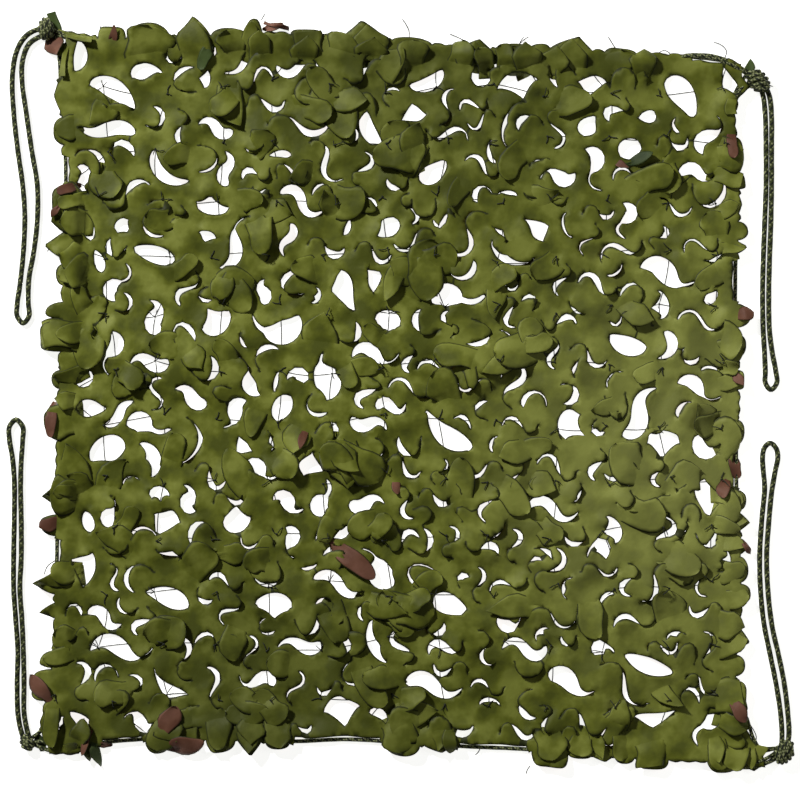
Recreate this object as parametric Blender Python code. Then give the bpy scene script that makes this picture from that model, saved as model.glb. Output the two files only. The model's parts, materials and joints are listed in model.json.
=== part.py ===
# Camouflage net, about 1 m square, laid out flat on a floor, +Z up, metres.
#
# One garnish cloth, cut with S-shaped slits that open into holes and tongues, lies over
# a perimeter rope. The rope's four sides meet in four corner knots, and from each knot
# hangs a doubled tie cord. Plan tables are in plan units, counted from the upper left
# corner of the layout; UNIT and MIDDLE turn them into metres about the net's middle.
import math
import random
from collections import namedtuple

import bmesh
import bpy
from mathutils import Vector
from mathutils.geometry import delaunay_2d_cdt

UNIT = 0.00144              # metres in one plan unit
MIDDLE = (406.5, 394.0)     # the net's middle in plan units

CLOTH_THICK = 0.0016        # garnish cloth, measured straight up
ROPE_D = 0.006              # perimeter rope
TIE_D = 0.0065              # tie cord
KNOT_STRAND_D = 0.0064      # strand of a corner knot
FIT = 0.0004                # gap kept where one piece meets another
SEAT_REACH = 0.045          # how far along a rope its knot can reach
TUBE_ROUNDS = 2             # bevel resolution of the ropes, which gives eight sides
ROPE_STEP = 0.045           # longest straight of the rope's tube
ROPE_TURN = 16.0            # degrees that it turns before it gets another point
TIE_STEP = 3 * TIE_D
TIE_TURN = 24.0
TURN_STEP_SHARE = 0.2       # shortest straight, as a share of the longest

ROPE_COVER = 0.0045         # how far the cloth's edge hangs out over the rope
ROPE_BARE = 0.005           # how far it draws back where the rope shows
EDGE_HEIGHT = 0.0065        # underside of the cloth where it crosses the rope
EDGE_RING = 0.0085          # a line inside the rope up to which the cloth stays lifted
EDGE_FALL = 0.042           # distance from the rope where the cloth is back on the floor
EDGE_FLUTTER = 0.0035       # how much higher some leaves of the edge stand
RING_STEP = 0.034
EDGE_STEP = 1.5             # least distance between two edge points, in plan units

GAP_TO_RING = 0.003         # cloth left between a gap and that line
MAIN_WEB = 0.0045           # cloth left between two of the main gaps
WEB = 0.0066                # cloth left between the other gaps
REST_AT = (0.026, 0.171)    # middle of the flat patch that carries the rest mount
REST_R = 0.020              # its three corners' distance from that middle
REST_CLEAR = 0.027

SLIT_PITCH = 0.053          # the cutting die's repeat
SLIT_CELLS = 10             # repeats each way from the middle
SLIT_SEED = 41
SLIT_JITTER = 0.013
SLIT_LONG = (0.044, 0.068)
SLIT_WIDE = (0.0050, 0.0125)
SLIT_SWAY = (42.0, 62.0)
SLIT_TILT = 24.0
NICK_LONG = (0.022, 0.040)
NICK_WIDE = (0.006, 0.012)
NICK_SHARE = 0.8
SMALLEST_GAP = 0.0045
FILL_PITCH = 0.052          # spacing of the cloth's free mesh points
FILL_ROW = 0.047            # spacing of their rows
FILL_JITTER = 0.008
FILL_CLEAR = 0.012
TONGUE_SHARE = 0.42         # a tongue's lift as a share of its gap's width
TONGUE_MOST = 0.0075
SHORT_GAP = 0.046           # a gap shorter than this, unless S-shaped, needs fewer points
GAP_BLUNT = 0.8             # how full the ends of a gap are

Gap = namedtuple("Gap", "x y long wide turn sway curl")
Leaf = namedtuple("Leaf", "first last reach kind")
Side = namedtuple("Side", "name along outward route leaves bare")
Wave = namedtuple("Wave", "length heading height phase")
Knot = namedtuple("Knot", "name x y across tall turn")
Area = namedtuple("Area", "x y reach more")

# The main gaps, in plan units and degrees: middle, length, width, direction, the sway
# of an S-shaped one and the curl of a crescent.
MAIN_GAPS = (
    Gap(77, 58, 30, 15, 75, 0, 0),
    Gap(211, 60, 46, 10, -15, 0, 70),
    Gap(245, 62, 46, 8, 30, -30, 0),
    Gap(277, 41, 25, 14, 0, 0, 0),
    Gap(304, 54, 50, 6, 38, -55, 0),
    Gap(384, 58, 52, 9, -35, 50, 0),
    Gap(469, 55, 21, 17, 70, 0, 0),
    Gap(107, 131, 74, 12, -6, -30, 0),
    Gap(115, 93, 50, 17, -28, 0, -35),
    Gap(147, 73, 34, 15, 10, 0, -30),
    Gap(298, 126, 60, 7, 0, 40, 0),
    Gap(371, 131, 32, 12, -62, 0, 0),
    Gap(382, 98, 44, 14, 65, -25, 0),
    Gap(413, 116, 26, 13, 15, 0, -30),
    Gap(428, 82, 36, 12, 25, 0, 40),
    Gap(486, 72, 42, 13, 25, -25, 0),
    Gap(511, 125, 50, 7, 75, 0, -55),
    Gap(517, 84, 40, 18, 12, 0, 0),
    Gap(588, 126, 22, 14, 60, 0, 0),
    Gap(592, 84, 28, 13, 0, 0, 0),
    Gap(683, 96, 46, 17, -55, 0, 0),
    Gap(720, 131, 32, 13, -70, 0, 0),
    Gap(127, 194, 50, 7, 20, -35, 0),
    Gap(166, 172, 46, 10, -42, 0, 60),
    Gap(326, 161, 56, 6, -48, 55, 0),
    Gap(434, 173, 32, 14, 35, 0, 0),
    Gap(630, 151, 22, 15, 20, 0, 0),
    Gap(635, 174, 34, 12, -5, 0, 40),
    Gap(86, 224, 34, 11, -70, 0, 0),
    Gap(155, 254, 42, 14, -18, 0, 0),
    Gap(213, 206, 32, 14, -10, 0, 0),
    Gap(235, 242, 60, 11, 60, -40, 0),
    Gap(387, 228, 24, 16, 50, 0, 0),
    Gap(468, 233, 54, 6, 45, -60, 0),
    Gap(510, 257, 46, 7, -20, 0, 50),
    Gap(535, 229, 30, 13, -50, 0, 0),
    Gap(217, 322, 32, 19, 35, 0, 0),
    Gap(276, 328, 46, 12, 0, 0, 80),
    Gap(346, 291, 42, 15, -72, 0, 0),
    Gap(372, 281, 25, 13, -75, 0, 0),
    Gap(388, 320, 25, 15, -15, 0, 0),
    Gap(459, 299, 54, 13, 8, 40, 0),
    Gap(496, 288, 38, 16, -88, 0, 0),
    Gap(660, 305, 28, 13, -85, 0, 0),
    Gap(667, 275, 56, 12, -15, 40, 0),
    Gap(715, 298, 52, 15, 80, 0, -50),
    Gap(249, 376, 44, 8, -60, 30, 0),
    Gap(288, 354, 58, 12, 12, 50, 0),
    Gap(325, 376, 48, 14, -85, -25, 0),
    Gap(627, 344, 38, 15, -18, 0, 0),
    Gap(92, 408, 28, 14, 0, 0, 0),
    Gap(107, 451, 36, 19, 20, 0, 0),
    Gap(119, 413, 42, 8, 40, -30, 0),
    Gap(149, 427, 58, 12, -5, 40, 0),
    Gap(152, 458, 46, 9, -70, 0, -60),
    Gap(193, 441, 46, 7, 85, 0, 60),
    Gap(235, 414, 46, 9, 50, -40, 0),
    Gap(283, 408, 28, 14, 60, 0, 0),
    Gap(325, 418, 56, 19, -5, 0, -25),
    Gap(446, 433, 58, 17, -38, 0, 0),
    Gap(571, 426, 28, 18, 60, 0, 0),
    Gap(639, 412, 58, 12, 55, -40, 0),
    Gap(663, 443, 42, 18, 0, 0, 0),
    Gap(667, 418, 30, 11, -62, 0, 0),
    Gap(77, 486, 28, 12, -15, 0, 0),
    Gap(167, 520, 26, 17, -18, 0, 0),
    Gap(196, 482, 27, 19, -60, 0, 0),
    Gap(238, 518, 25, 20, 0, 0, 0),
    Gap(309, 464, 25, 16, 70, 0, 0),
    Gap(553, 510, 50, 8, -5, 50, 0),
    Gap(708, 497, 36, 16, -82, 0, 0),
    Gap(717, 469, 28, 15, 35, 0, 0),
    Gap(86, 569, 34, 16, 75, 0, 0),
    Gap(130, 541, 62, 5, 12, -50, 0),
    Gap(339, 585, 52, 8, -15, 45, 0),
    Gap(340, 565, 26, 17, -30, 0, 0),
    Gap(378, 567, 48, 14, -50, 30, 0),
    Gap(418, 577, 46, 20, 60, 0, 0),
    Gap(612, 529, 28, 12, -72, 0, 0),
    Gap(654, 582, 46, 7, 55, -35, 0),
    Gap(122, 649, 62, 10, 2, 45, 0),
    Gap(168, 598, 44, 15, -20, 0, 0),
    Gap(190, 632, 44, 7, 80, 40, 0),
    Gap(274, 603, 36, 17, -5, 0, 0),
    Gap(300, 645, 44, 9, 5, 40, 0),
    Gap(375, 643, 44, 8, -72, 0, 40),
    Gap(386, 610, 46, 13, 80, 0, 0),
    Gap(450, 603, 34, 15, -20, 0, 0),
    Gap(81, 722, 36, 9, -70, 0, -60),
    Gap(168, 685, 42, 10, -38, 0, 40),
    Gap(277, 716, 46, 7, -72, 40, 0),
    Gap(342, 709, 36, 20, 10, 0, 0),
    Gap(434, 686, 56, 11, -5, 45, 0),
    Gap(571, 683, 48, 12, -18, 40, 0),
    Gap(624, 684, 62, 6, -38, 40, 0),
    Gap(648, 665, 50, 13, -20, 0, 0),
    Gap(655, 717, 40, 9, 8, 0, 30),
)

# The rope's four sides, each from knot to knot round the net, and the leaves of cloth
# that hang out over it: where each starts and ends along its side, and how far it
# reaches. A bare stretch is one where the rope shows.
SIDES = (
    Side("bottom", 0, 1,
         ((30, 742), (50, 750), (75, 751), (100, 743), (140, 739), (178, 737),
          (240, 739), (292, 741), (347, 739), (400, 742), (464, 746), (528, 749),
          (580, 754), (640, 757), (700, 758), (740, 763), (764, 763), (778, 757)),
         (Leaf(82, 97, 762, "point"), Leaf(146, 172, 753, "round"),
          Leaf(178, 200, 752, "square"), Leaf(206, 236, 752, "round"),
          Leaf(238, 262, 755, "point"), Leaf(266, 290, 748, "round"),
          Leaf(384, 420, 755, "round"), Leaf(424, 452, 752, "point"),
          Leaf(531, 568, 766, "square"), Leaf(568, 590, 758, "round"),
          Leaf(592, 612, 761, "point"), Leaf(614, 634, 763, "round"),
          Leaf(638, 668, 768, "square"), Leaf(706, 736, 772, "round"),
          Leaf(742, 760, 770, "point")),
         ((104, 142), (296, 380), (460, 526))),
    Side("right", 1, 1,
         ((778, 748), (764, 748), (752, 744), (742, 728), (734, 700), (735, 650),
          (739, 600), (738, 540), (736, 480), (736, 400), (735, 330), (735, 270),
          (737, 200), (734, 150), (731, 118), (735, 98), (746, 88), (754, 84)),
         (Leaf(680, 712, 745, "square"), Leaf(654, 676, 744, "round"),
          Leaf(626, 650, 750, "point"), Leaf(583, 604, 750, "round"),
          Leaf(556, 582, 747, "round"), Leaf(538, 554, 747, "point"),
          Leaf(512, 530, 749, "point"), Leaf(490, 510, 745, "round"),
          Leaf(420, 444, 744, "round"), Leaf(370, 390, 743, "square"),
          Leaf(334, 358, 745, "round"), Leaf(304, 328, 750, "round"),
          Leaf(242, 254, 747, "point"), Leaf(222, 241, 747, "round"),
          Leaf(196, 214, 741, "point"), Leaf(174, 190, 744, "square"),
          Leaf(138, 158, 742, "round")),
         ((448, 486), (262, 300))),
    Side("top", 0, -1,
         ((752, 78), (740, 68), (726, 62), (700, 58), (660, 57), (620, 56), (585, 52),
          (550, 50), (500, 51), (455, 49), (410, 44), (350, 39), (275, 36), (200, 38),
          (126, 40), (92, 39), (66, 35), (52, 30)),
         (Leaf(645, 668, 53, "point"), Leaf(604, 636, 49, "round"),
          Leaf(550, 592, 37, "point"), Leaf(530, 549, 45, "round"),
          Leaf(495, 528, 45, "round"), Leaf(460, 490, 40, "point"),
          Leaf(392, 432, 38, "round"), Leaf(344, 386, 22, "point"),
          Leaf(291, 321, 30, "square"), Leaf(245, 263, 20, "round"),
          Leaf(212, 244, 29, "round"), Leaf(178, 211, 16, "point"),
          Leaf(128, 170, 24, "round"), Leaf(99, 127, 28, "square")),
         ((692, 724),)),
    Side("left", 1, -1,
         ((51, 32), (58, 44), (60, 62), (61, 85), (64, 120), (66, 165), (66, 220),
          (66, 280), (63, 340), (61, 400), (60, 460), (58, 520), (57, 580), (57, 630),
          (53, 670), (48, 705), (43, 728), (32, 738)),
         (Leaf(84, 112, 55, "point"), Leaf(118, 146, 54, "round"),
          Leaf(186, 226, 53, "square"), Leaf(232, 260, 44, "point"),
          Leaf(264, 286, 57, "round"), Leaf(302, 320, 47, "round"),
          Leaf(321, 352, 41, "square"), Leaf(370, 389, 52, "round"),
          Leaf(406, 440, 45, "round"), Leaf(484, 506, 43, "point"),
          Leaf(514, 536, 41, "round"), Leaf(572, 594, 33, "point"),
          Leaf(602, 618, 40, "point"), Leaf(650, 667, 41, "round"),
          Leaf(668, 700, 33, "square")),
         ((58, 78), (158, 182), (540, 562))),
)

# The cloth's four corners, inside the knots, in the order in which the sides end.
CORNERS = ((762, 755), (741, 78), (66, 44), (47, 738))

# Trefoil knots where the rope's sides meet, with their size across and up the plan.
KNOTS = (
    Knot("knot_top_left", 50, 29, 0.033, 0.031, 20),
    Knot("knot_top_right", 757, 82, 0.030, 0.046, 8),
    Knot("knot_bottom_left", 28, 741, 0.032, 0.034, 75),
    Knot("knot_bottom_right", 783, 751, 0.034, 0.032, 110),
)
SIDE_KNOTS = {
    "bottom": ("knot_bottom_left", "knot_bottom_right"),
    "right": ("knot_bottom_right", "knot_top_right"),
    "top": ("knot_top_right", "knot_top_left"),
    "left": ("knot_top_left", "knot_bottom_left"),
}
KNOT_POINTS = 30
KNOT_SIDES = 8
KNOT_RISE = 0.0036          # half the height between a knot's crossing strands

# Tie routes in metres, seen from above, from the knot out to the turn and back to it.
TIES = {
    "tie_top_left": (
        (-0.515, 0.525), (-0.534, 0.523), (-0.549, 0.513), (-0.561, 0.492),
        (-0.567, 0.455), (-0.565, 0.405), (-0.559, 0.350), (-0.552, 0.300),
        (-0.549, 0.255), (-0.551, 0.205), (-0.556, 0.157), (-0.560, 0.129),
        (-0.560, 0.112), (-0.5515, 0.102), (-0.543, 0.112), (-0.544, 0.131),
        (-0.543, 0.165), (-0.536, 0.205), (-0.531, 0.250), (-0.531, 0.300),
        (-0.539, 0.350), (-0.547, 0.405), (-0.553, 0.450), (-0.552, 0.480),
        (-0.543, 0.503), (-0.529, 0.513), (-0.515, 0.518)),
    "tie_top_right": (
        (0.508, 0.446), (0.513, 0.428), (0.516, 0.400), (0.517, 0.355),
        (0.517, 0.300), (0.515, 0.245), (0.513, 0.190), (0.512, 0.140),
        (0.513, 0.092), (0.515, 0.056), (0.516, 0.031), (0.516, 0.016),
        (0.524, 0.006), (0.5325, 0.016), (0.531, 0.033), (0.526, 0.060),
        (0.522, 0.092), (0.521, 0.140), (0.522, 0.190), (0.524, 0.245),
        (0.525, 0.300), (0.525, 0.355), (0.525, 0.400), (0.522, 0.428),
        (0.514, 0.447)),
    "tie_bottom_left": (
        (-0.549, -0.500), (-0.555, -0.482), (-0.559, -0.458), (-0.560, -0.415),
        (-0.559, -0.370), (-0.562, -0.325), (-0.565, -0.280), (-0.565, -0.230),
        (-0.564, -0.175), (-0.564, -0.125), (-0.567, -0.090), (-0.571, -0.066),
        (-0.571, -0.047), (-0.5615, -0.037), (-0.552, -0.047), (-0.552, -0.066),
        (-0.554, -0.095), (-0.555, -0.135), (-0.554, -0.185), (-0.554, -0.235),
        (-0.556, -0.280), (-0.553, -0.325), (-0.551, -0.370), (-0.550, -0.415),
        (-0.550, -0.458), (-0.546, -0.482), (-0.541, -0.500)),
    "tie_bottom_right": (
        (0.539, -0.514), (0.540, -0.490), (0.538, -0.460), (0.532, -0.420),
        (0.523, -0.375), (0.514, -0.330), (0.509, -0.280), (0.508, -0.230),
        (0.511, -0.180), (0.515, -0.135), (0.513, -0.110), (0.512, -0.091),
        (0.515, -0.077), (0.523, -0.0705), (0.531, -0.077), (0.534, -0.091),
        (0.530, -0.112), (0.525, -0.143), (0.521, -0.185), (0.518, -0.232),
        (0.520, -0.285), (0.526, -0.335), (0.535, -0.375), (0.543, -0.415),
        (0.548, -0.455), (0.550, -0.490), (0.546, -0.514)),
}

# Low swells of the loose cloth over the floor; below zero it lies flat.
SWELLS = (
    Wave(0.310, 22, 0.0034, 0.6),
    Wave(0.190, 118, 0.0026, 2.1),
    Wave(0.128, 71, 0.0020, 4.4),
    Wave(0.094, 155, 0.0015, 1.2),
)
SWELL_SINK = 0.0018

# Where the net hangs more open, or less: upper left, left of the middle, right.
OPEN_AREAS = (
    Area(-0.36, 0.38, 0.22, 0.35),
    Area(-0.30, -0.02, 0.22, 0.45),
    Area(0.20, 0.02, 0.20, -0.30),
)

LINE_POINTS = 13            # points that stand for a gap's middle line in the tests
FINE_POINTS = 61            # points of that line when the gap's rim is drawn
RIM_POINTS = 12             # points that stand for the rim of a tube's flat end
SEAT_POINTS = 180           # points that stand for a knot when the ropes are seated
SHORTEST_STEP = 1e-6


def place(x, y):
    return Vector(((x - MIDDLE[0]) * UNIT, (MIDDLE[1] - y) * UNIT))


# ---- curves -------------------------------------------------------------------------

def smooth_route(points, spacing=0.0008):
    """Closely spaced points on a centripetal curve through the route's points."""
    before = 2 * points[0] - points[1]
    after = 2 * points[-1] - points[-2]
    route = [before] + list(points) + [after]
    found = []
    for i in range(1, len(route) - 2):
        p0, p1, p2, p3 = route[i - 1:i + 3]
        t1 = math.sqrt((p1 - p0).length)
        t2 = t1 + math.sqrt((p2 - p1).length)
        t3 = t2 + math.sqrt((p3 - p2).length)
        steps = max(2, round((p2 - p1).length / spacing))
        for k in range(steps):
            t = t1 + (t2 - t1) * k / steps
            a = p0.lerp(p1, t / t1)
            b = p1.lerp(p2, (t - t1) / (t2 - t1))
            c = p2.lerp(p3, (t - t2) / (t3 - t2))
            d = a.lerp(b, t / t2)
            e = b.lerp(c, (t - t1) / (t3 - t1))
            found.append(d.lerp(e, (t - t1) / (t2 - t1)))
    found.append(route[-2].copy())
    return found


def thin_route(points, longest, turn):
    """Keep a point where the route has run far enough or turned far enough."""
    kept = [points[0]]
    run = 0.0
    turned = 0.0
    for before, here, after in zip(points, points[1:], points[2:]):
        run += (here - before).length
        turned += (here - before).angle(after - here, 0.0)
        if run >= longest or (turned >= turn and run >= longest * TURN_STEP_SHARE):
            kept.append(here)
            run = 0.0
            turned = 0.0
    if (kept[-1] - points[-1]).length < longest * TURN_STEP_SHARE and len(kept) > 2:
        kept.pop()
    kept.append(points[-1])
    return kept


def cap_rim(centre, heading, radius):
    """Points round the rim of a tube's flat end."""
    heading = heading.normalized()
    side = heading.cross(Vector((0, 0, 1))).normalized()
    up = side.cross(heading)
    rim = [centre]
    for k in range(RIM_POINTS):
        angle = math.tau * k / RIM_POINTS
        rim.append(centre + radius * (math.cos(angle) * side + math.sin(angle) * up))
    return rim


def seat_end(points, radius, knot_points):
    """Cut the start of a route back until its flat end stands just off the knot."""
    clear = KNOT_STRAND_D / 2 + FIT
    start = 0
    run = 0.0
    for i in range(len(points) - 2):
        run += (points[i + 1] - points[i]).length
        if run > SEAT_REACH:
            break
        rim = cap_rim(points[i], points[i] - points[i + 2], radius)
        if min((p - q).length for p in rim for q in knot_points) < clear:
            start = i + 1
    return points[start:]


# ---- knots and tubes ----------------------------------------------------------------

def knot_line(knot, count):
    """Centre line of a trefoil knot, its lowest strand on the floor."""
    middle = place(knot.x, knot.y)
    turn = math.radians(knot.turn)
    reach = 3.0
    half_x = (knot.across - KNOT_STRAND_D) / 2 / reach
    half_y = (knot.tall - KNOT_STRAND_D) / 2 / reach
    line = []
    for k in range(count):
        t = math.tau * k / count
        radial_x = math.sin(t) + 2 * math.sin(2 * t)
        radial_y = math.cos(t) - 2 * math.cos(2 * t)
        x = half_x * (radial_x * math.cos(turn) - radial_y * math.sin(turn))
        y = half_y * (radial_x * math.sin(turn) + radial_y * math.cos(turn))
        z = KNOT_STRAND_D / 2 + KNOT_RISE * (1 - math.sin(3 * t))
        line.append(Vector((middle.x + x, middle.y + y, z)))
    return line


def make_knot(knot, material):
    line = knot_line(knot, KNOT_POINTS)
    mesh = bmesh.new()
    rings = []
    for i, here in enumerate(line):
        heading = (line[(i + 1) % KNOT_POINTS] - line[i - 1]).normalized()
        side = Vector((0, 0, 1)).cross(heading).normalized()
        up = heading.cross(side)
        ring = []
        for k in range(KNOT_SIDES):
            angle = math.tau * k / KNOT_SIDES
            spoke = math.cos(angle) * side + math.sin(angle) * up
            ring.append(mesh.verts.new(here + spoke * KNOT_STRAND_D / 2))
        rings.append(ring)
    for i, ring in enumerate(rings):
        after = rings[(i + 1) % KNOT_POINTS]
        for k in range(KNOT_SIDES):
            j = (k + 1) % KNOT_SIDES
            mesh.faces.new((ring[k], ring[j], after[j], after[k]))
    lowest = min(v.co.z for v in mesh.verts)
    bmesh.ops.translate(mesh, verts=mesh.verts, vec=(0, 0, -lowest))
    bmesh.ops.recalc_face_normals(mesh, faces=mesh.faces)
    add_mesh(knot.name, mesh, material)


def make_tube(name, points, diameter, material):
    data = bpy.data.curves.new(name, "CURVE")
    data.dimensions = "3D"
    data.bevel_depth = diameter / 2
    data.bevel_resolution = TUBE_ROUNDS
    data.use_fill_caps = True
    spline = data.splines.new("POLY")
    spline.points.add(len(points) - 1)
    for target, point in zip(spline.points, points):
        target.co = (point.x, point.y, point.z, 1.0)
    data.materials.append(material)
    tube = bpy.data.objects.new(name, data)
    bpy.context.collection.objects.link(tube)


def make_ropes(knot_lines, material):
    """The perimeter rope, one tube a side, seated on the knots at both ends."""
    for i, side in enumerate(SIDES):
        flat = smooth_route([place(x, y) for x, y in side.route])
        route = [Vector((p.x, p.y, ROPE_D / 2)) for p in flat]
        first, last = SIDE_KNOTS[side.name]
        route = seat_end(route, ROPE_D / 2, knot_lines[first])
        route = seat_end(route[::-1], ROPE_D / 2, knot_lines[last])
        points = thin_route(route, ROPE_STEP, math.radians(ROPE_TURN))
        make_tube("rope_" + side.name, points, ROPE_D, material)


def make_ties(knot_lines, material):
    """The doubled tie cords, both ends of each seated on its knot."""
    for name, plan in TIES.items():
        line = knot_lines[name.replace("tie", "knot")]
        flat = smooth_route([Vector(p) for p in plan])
        route = [Vector((p.x, p.y, TIE_D / 2)) for p in flat]
        route = seat_end(route, TIE_D / 2, line)
        route = seat_end(route[::-1], TIE_D / 2, line)
        points = thin_route(route, TIE_STEP, math.radians(TIE_TURN))
        make_tube(name, points, TIE_D, material)


# ---- the cloth's outline ------------------------------------------------------------

def rope_at(side, along):
    """Where the rope's line stands across a side, in plan units."""
    route = side.route if side.route[0][side.along] < side.route[-1][side.along] \
        else side.route[::-1]
    for before, after in zip(route, route[1:]):
        if along <= after[side.along]:
            break
    span = max(after[side.along] - before[side.along], SHORTEST_STEP)
    share = min(1.0, max(0.0, (along - before[side.along]) / span))
    across = 1 - side.along
    return before[across] + share * (after[across] - before[across])


def side_point(side, along, outward):
    """A point beside the rope, from a distance along it and one outward, in units."""
    across = rope_at(side, along) + side.outward * outward
    return place(along, across) if side.along == 0 else place(across, along)


LEAF_SHAPES = {
    "round": ((0.0, 0.0), (0.2, 0.78), (0.52, 1.0), (0.82, 0.74), (1.0, 0.0)),
    "square": ((0.0, 0.0), (0.1, 0.9), (0.88, 1.0), (1.0, 0.0)),
    "point": ((0.0, 0.0), (0.3, 0.5), (0.56, 1.0), (1.0, 0.0)),
}


def side_outline(side):
    """The cloth's edge along one side, in the order of its rope."""
    cover = ROPE_COVER / UNIT
    bare = -ROPE_BARE / UNIT
    marks = {}
    for leaf in side.leaves:
        for share, rise in LEAF_SHAPES[leaf.kind]:
            along = leaf.first + share * (leaf.last - leaf.first)
            middle = (leaf.first + leaf.last) / 2
            reach = abs(leaf.reach - rope_at(side, middle))
            marks[along] = cover + rise * (reach - cover)
    for first, last in side.bare:
        marks[first] = bare
        marks[last] = bare
    ends = [p[side.along] for p in (side.route[1], side.route[-2])]
    for end in ends:
        marks[end] = cover
    order = sorted(a for a in marks if min(ends) <= a <= max(ends))
    kept = [order[0]]
    for along in order[1:]:
        if along - kept[-1] > EDGE_STEP:
            kept.append(along)
    if side.route[0][side.along] > side.route[-1][side.along]:
        kept.reverse()
    return [side_point(side, along, marks[along]) for along in kept]


def rope_ring():
    """A closed line just inside the rope."""
    inset = EDGE_RING / UNIT
    step = RING_STEP / UNIT
    ring = []
    for side in SIDES:
        first = side.route[2][side.along]
        last = side.route[-3][side.along]
        count = max(2, round(abs(last - first) / step))
        for k in range(count + 1):
            along = first + (last - first) * k / count
            ring.append(side_point(side, along, -inset))
    return ring


# ---- the gaps -----------------------------------------------------------------------

def gap_line(gap, count):
    """Points along the middle of a gap, with the heading at each."""
    headings = []
    for k in range(count):
        u = k / (count - 1) - 0.5
        swing = -gap.sway * math.cos(math.tau * u) + gap.curl * 2 * u
        headings.append(math.radians(gap.turn + swing))
    points = [Vector((0.0, 0.0))]
    for before, after in zip(headings, headings[1:]):
        middle = (before + after) / 2
        points.append(points[-1] + Vector((math.cos(middle), math.sin(middle))))
    chord = (points[-1] - points[0]).length
    centre = Vector((gap.x, gap.y))
    centroid = sum(points, Vector((0.0, 0.0))) / count
    line = []
    for point, heading in zip(points, headings):
        line.append((centre + (point - centroid) * gap.long / chord, heading))
    return line


def gap_width(gap, u):
    return gap.wide * max(0.0, math.cos(math.pi * u)) ** GAP_BLUNT


def gap_rim(gap):
    """The gap's outline, and how far each of its points is lifted as a tongue."""
    shares = (-0.26, 0.26) if gap.long < SHORT_GAP and not gap.sway else (-0.31, 0.0, 0.31)
    line = gap_line(gap, FINE_POINTS)
    lift = min(TONGUE_MOST, TONGUE_SHARE * gap.wide)
    rim = [(line[0][0], 0.0)]
    for edge in (-1, 1):
        row = []
        for u in shares:
            point, heading = line[round((u + 0.5) * (FINE_POINTS - 1))]
            normal = Vector((-math.sin(heading), math.cos(heading)))
            spot = point + normal * edge * gap_width(gap, u) / 2
            row.append((spot, lift * tongue_side(gap, u, edge)))
        rim += row if edge < 0 else [(line[-1][0], 0.0)] + row[::-1]
    return rim


def tongue_side(gap, u, edge):
    """How much the cloth on this side of the gap belongs to a raised tongue."""
    if gap.sway:
        side = math.copysign(1.0, gap.sway) * u * 3.0
    elif gap.curl:
        side = math.copysign(1.0, gap.curl)
    else:
        side = 1.0 if gap.turn >= 0 else -1.0
    return min(1.0, max(0.0, side * edge))


def segment_distance(point, start, end):
    run = end - start
    share = (point - start).dot(run) / max(run.length_squared, SHORTEST_STEP ** 2)
    return (point - start - run * min(1.0, max(0.0, share))).length


def line_distance(point, segments):
    return min(segment_distance(point, a, b) for a, b in segments)


def closed(loop):
    return list(zip(loop, loop[1:] + loop[:1]))


def fits(gap, taken, ring, web):
    """Whether a gap leaves enough cloth to the edge, the rest patch and the others."""
    line = gap_line(gap, LINE_POINTS)
    half = gap.wide / 2
    for point, _ in line:
        if (point - Vector(REST_AT)).length < REST_CLEAR + half:
            return False
        if not inside(point, ring):
            return False
        if line_distance(point, closed(ring)) < GAP_TO_RING + half:
            return False
    for other, other_line in taken:
        far = (gap.long + other.long) / 2 + web + half
        if abs(gap.x - other.x) > far or abs(gap.y - other.y) > far:
            continue
        clear = web + half + other.wide / 2
        for point, _ in line:
            if any((point - q).length < clear for q, _ in other_line):
                return False
    return True


def take_gap(gap, taken, ring, web, shrinks):
    """Add a gap, made smaller where that is what lets it fit."""
    for share in shrinks:
        smaller = gap._replace(long=gap.long * share, wide=gap.wide * (1 + share) / 2)
        if smaller.wide >= SMALLEST_GAP and fits(smaller, taken, ring, web):
            taken.append((smaller, gap_line(smaller, LINE_POINTS)))
            return


def openness(x, y):
    """How much wider the net's smaller gaps stand here than on average."""
    total = 1.0
    for area in OPEN_AREAS:
        away = (x - area.x) ** 2 + (y - area.y) ** 2
        total += area.more * math.exp(-away / area.reach ** 2)
    return total


def all_gaps(ring):
    taken = []
    for plan in MAIN_GAPS:
        middle = place(plan.x, plan.y)
        gap = plan._replace(x=middle.x, y=middle.y,
                            long=plan.long * UNIT, wide=plan.wide * UNIT)
        take_gap(gap, taken, ring, MAIN_WEB, (1.0, 0.88, 0.76))
    draw = random.Random(SLIT_SEED)
    cells = range(-SLIT_CELLS, SLIT_CELLS + 1)
    for row in cells:
        for column in cells:
            x = column * SLIT_PITCH + draw.uniform(-1, 1) * SLIT_JITTER
            y = row * SLIT_PITCH + draw.uniform(-1, 1) * SLIT_JITTER
            upright = 90.0 * ((row + column) % 2)
            turn = upright + draw.uniform(-1, 1) * SLIT_TILT
            long = draw.uniform(*SLIT_LONG)
            wide = draw.uniform(*SLIT_WIDE) * openness(x, y)
            sway = draw.uniform(*SLIT_SWAY) * (-1 if draw.random() < 0.2 else 1)
            slit = Gap(x, y, long, wide, turn, sway, 0.0)
            take_gap(slit, taken, ring, WEB, (1.0, 0.85, 0.7))
    for row in cells:
        for column in cells:
            x = (column + 0.5) * SLIT_PITCH + draw.uniform(-1, 1) * SLIT_JITTER
            y = (row + 0.5) * SLIT_PITCH + draw.uniform(-1, 1) * SLIT_JITTER
            turn = draw.uniform(-90, 90)
            long = draw.uniform(*NICK_LONG)
            wide = draw.uniform(*NICK_WIDE) * openness(x, y)
            curl = draw.uniform(-60, 60)
            if draw.random() < NICK_SHARE:
                nick = Gap(x, y, long, wide, turn, 0.0, curl)
                take_gap(nick, taken, ring, WEB, (1.0, 0.8))
    return [gap for gap, _ in taken]


# ---- the cloth ----------------------------------------------------------------------

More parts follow.
